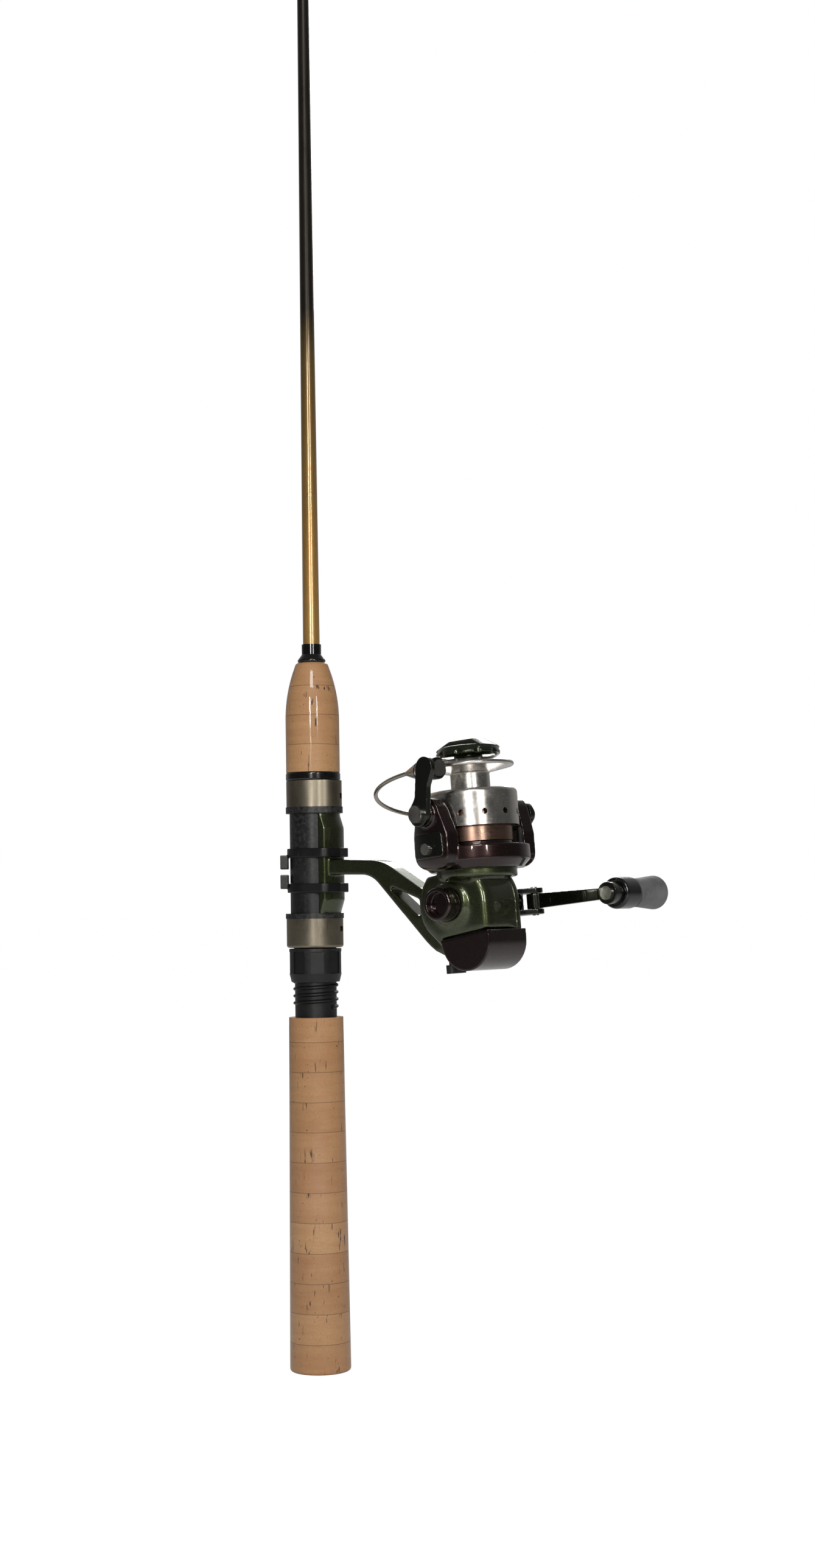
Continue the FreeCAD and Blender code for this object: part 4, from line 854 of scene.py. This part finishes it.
@dataclass
class RodAndGuides:
    """The blank, its line guides and their thread windings."""

    guides: tuple[str, ...] = ("guide_1", "guide_2", "guide_3", "guide_4", "tip_top")
    rings: tuple[str, ...] = ("guide_rings", "tip_ring")

    def build(self) -> None:
        """Dresses the blank and guides."""
        dress(("blank",), Finishes.BLANK)
        dress(self.guides, Finishes.GUIDE_STEEL)
        dress(self.rings, Finishes.CERAMIC)
        dress(("guide_wraps",), Finishes.WRAP)


@dataclass
class ReelBody:
    """The gear housing with its covers and everything inside."""

    steel: tuple[str, ...] = ("housing_screws", "crank_bearings", "rotor_bearing", "crosswind_post",
                              "slider_rail", "main_shaft", "crank_shaft", "ratchet_wheel")
    black: tuple[str, ...] = ("crosswind_gear", "slider", "anti_reverse_lever")
    case_corner: Easing = Easing((0.064, -0.05, 0.12), (0.14, 0.007, 0.1955), 240)

    def build(self) -> None:
        """Dresses the housing, its trim and its gears."""
        softened("reel_housing", CAST_CELL, 14, Finishes.GREEN, 0.4, self.case_corner)
        softened("side_cover", CAST_CELL, 12, Finishes.GREEN)
        softened("rear_trim", 0.00025, 8, Finishes.MAROON)
        softened("handle_bolt_cap", 0.00018, 6, Finishes.MAROON)
        dress(self.steel, Finishes.STEEL)
        dress(self.black, Finishes.INNER_BLACK)
        dress(("drive_gear", "shaft_gear"), Finishes.ZINC)
        dress(("pinion_gear", "rotor_nut"), Finishes.BRASS)


@dataclass
class Crank:
    """The folding crank and its knob."""

    def build(self) -> None:
        """Dresses the crank."""
        softened("crank_clevis", FINE_CELL, 8, Finishes.ARM_BLACK)
        softened("crank_arm", FINE_CELL, 8, Finishes.ARM_BLACK)
        dress(("fold_pin", "knob_spindle"), Finishes.STEEL)
        softened("knob_core", FINE_CELL, 8, Finishes.GLOSS_BLACK)
        softened("knob_grip", 0.00022, 10, Finishes.SOFT)


@dataclass
class RotorAndBail:
    """The rotor, its covers and the bail with its line roller."""

    def build(self) -> None:
        """Dresses the rotor and bail."""
        softened("rotor", CAST_CELL, 22, Finishes.MAROON)
        softened("arm_cover_bail_side", FINE_CELL, 5, Finishes.ARM_BLACK)
        softened("arm_cover_far_side", FINE_CELL, 5, Finishes.ARM_BLACK)
        dress(("rotor_sleeve",), Finishes.COPPER_METAL)
        softened("bail_arm", FINE_CELL, 16, Finishes.ARM_BLACK)
        softened("bail_holder", FINE_CELL, 10, Finishes.ARM_BLACK)
        dress(("bail_wire",), Finishes.WIRE)
        dress(("cover_screws", "bail_pivot_screws", "roller_screw"), Finishes.STEEL)
        dress(("line_roller",), Finishes.SPOOL_METAL)


@dataclass
class SpoolAndDrag:
    """The line spool, its drag washers and drag knob."""

    def build(self) -> None:
        """Dresses the spool."""
        dress(("spool",), Finishes.SPOOL_METAL)
        dress(("drag_washers",), Finishes.FELT)
        softened("drag_knob", 0.00022, 12, Finishes.GREEN_DARK)


# ---------------------------------------------------------------- studio

@dataclass(frozen=True)
class Lamp:
    """A soft box: where it is, what it faces, its size and its power."""

    name: str
    place: Place
    target: Place
    wide: float
    tall: float
    watts: float
    tint: Colour = (1.0, 1.0, 1.0)

    def build(self) -> None:
        """Makes the lamp, which the camera doesn't see."""
        data = bpy.data.lights.new(self.name, "AREA")
        data.shape = "RECTANGLE"
        data.size, data.size_y = self.wide, self.tall
        data.energy = self.watts
        data.color = self.tint
        made = bpy.data.objects.new(self.name, data)
        bpy.context.scene.collection.objects.link(made)
        made.location = self.place
        facing = Vector(self.target) - Vector(self.place)
        made.rotation_euler = facing.to_track_quat("-Z", "Y").to_euler()
        made.visible_camera = False


@dataclass
class Studio:
    """The floor, lamps, pale surroundings and camera."""

    floor_half: float = 30.0
    floor_glow: float = 1.15
    floor_lift: float = 0.85
    lens: float = 54.5
    camera_out: float = 0.950
    camera_side: float = 0.0378
    camera_height: float = 0.185
    look_height: float = 0.2318
    azimuth: float = 38.0
    roll: float = -0.86
    lamps: tuple[Lamp, ...] = field(default_factory=lambda: (
        Lamp("strip_near", (0.59, -0.95, 0.50), (0.0, 0.0, 0.22), 0.05, 0.34, 3.4, (1.0, 0.98, 0.95)),
        Lamp("strip_right", (1.00, -0.55, 0.52), (0.0, 0.0, 0.22), 0.05, 0.34, 2.6, (1.0, 0.98, 0.95)),
        Lamp("front_fill", (1.1, -1.3, 1.5), (0.03, 0.0, 0.25), 0.5, 0.5, 10.0),
        Lamp("back_fill", (-0.9, 1.4, 1.2), (0.0, 0.0, 0.3), 0.7, 0.7, 10.0)))

    def build(self) -> None:
        """Makes the whole studio."""
        self.floor()
        for lamp in self.lamps:
            lamp.build()
        self.surroundings()
        self.camera()
        scene = bpy.context.scene
        scene.view_settings.view_transform = "Standard"

    def floor(self) -> None:
        """A plain pale floor under the butt."""
        mesh = bmesh.new()
        bmesh.ops.create_grid(mesh, x_segments=8, y_segments=8, size=self.floor_half)
        data = bpy.data.meshes.new("floor")
        mesh.to_mesh(data)
        mesh.free()
        made = bpy.data.objects.new("floor", data)
        bpy.context.scene.collection.objects.link(made)
        material = bpy.data.materials.new("pale_floor")
        material.use_nodes = True
        material.node_tree.nodes.clear()
        graph = Graph(material.node_tree)
        pale = graph.remap(graph.noise(graph.object_place(), 3.0), 0.3, 0.7, 0.86, 0.9)
        tone = graph.combine(pale, pale, pale)
        lit = graph.add("BsdfPrincipled", {"Base Color": tone, "Roughness": 0.85})
        glow = graph.add("Emission", {"Color": (1.0, 1.0, 1.0, 1.0), "Strength": self.floor_glow})
        seen = graph.add("LightPath").outputs["Is Camera Ray"]
        share = graph.math("MULTIPLY", seen, self.floor_lift)
        lifted = graph.add("MixShader", {0: share, 1: lit.outputs[0], 2: glow.outputs[0]})
        graph.add("OutputMaterial", {"Surface": lifted.outputs[0]})
        data.materials.append(material)

    def surroundings(self) -> None:
        """White behind the object, and a dimmer grey room for light and reflections."""
        world = bpy.data.worlds.new("pale_room")
        world.use_nodes = True
        world.node_tree.nodes.clear()
        graph = Graph(world.node_tree)
        seen = graph.add("LightPath").outputs["Is Camera Ray"]
        parts = graph.add("SeparateXYZ", {0: graph.add("TexCoord").outputs["Generated"]}).outputs
        away_x, away_y = -math.sin(math.radians(self.azimuth)), math.cos(math.radians(self.azimuth))
        behind = graph.math("MULTIPLY_ADD", parts[1], away_y, graph.math("MULTIPLY", parts[0], away_x))
        overhead = graph.remap(parts[2], -0.2, 0.9, 0.035, 0.13)
        glow = graph.math("ADD", overhead, graph.remap(behind, 0.2, 0.9, 0.0, 0.22))
        room = graph.add("Background", {"Color": (1.0, 0.99, 0.97, 1.0), "Strength": glow})
        white = graph.add("Background", {"Color": (1.0, 1.0, 1.0, 1.0), "Strength": 1.0})
        both = graph.add("MixShader", {0: seen, 1: room.outputs[0], 2: white.outputs[0]})
        graph.add("OutputWorld", {"Surface": both.outputs[0]})
        bpy.context.scene.world = world

    def camera(self) -> None:
        """A long-lens camera at the reel's height, looking slightly up and turned a little."""
        turn = math.radians(self.azimuth)
        side = Vector((math.cos(turn), math.sin(turn), 0.0))
        out = Vector((math.sin(turn), -math.cos(turn), 0.0))
        place = side * self.camera_side + out * self.camera_out
        place.z = self.camera_height
        target = side * self.camera_side
        target.z = self.look_height
        data = bpy.data.cameras.new("camera")
        data.lens = self.lens
        data.clip_start, data.clip_end = 0.01, 100.0
        made = bpy.data.objects.new("camera", data)
        bpy.context.scene.collection.objects.link(made)
        facing = (target - place).to_track_quat("-Z", "Y").to_matrix()
        made.matrix_world = Matrix.Translation(place) @ (
            facing @ Matrix.Rotation(math.radians(self.roll), 3, "Z")).to_4x4()
        bpy.context.scene.camera = made


def main() -> None:
    """Builds every part in order and reports each piece."""
    logging.basicConfig(level=logging.INFO, format="%(name)s: %(message)s")
    parts = (Studio(), RodAndGuides(), Handle(), ReelSeat(), ReelBody(), Crank(), RotorAndBail(),
             SpoolAndDrag())
    for part in parts:
        part.build()


if __name__ == "__main__":
    main()
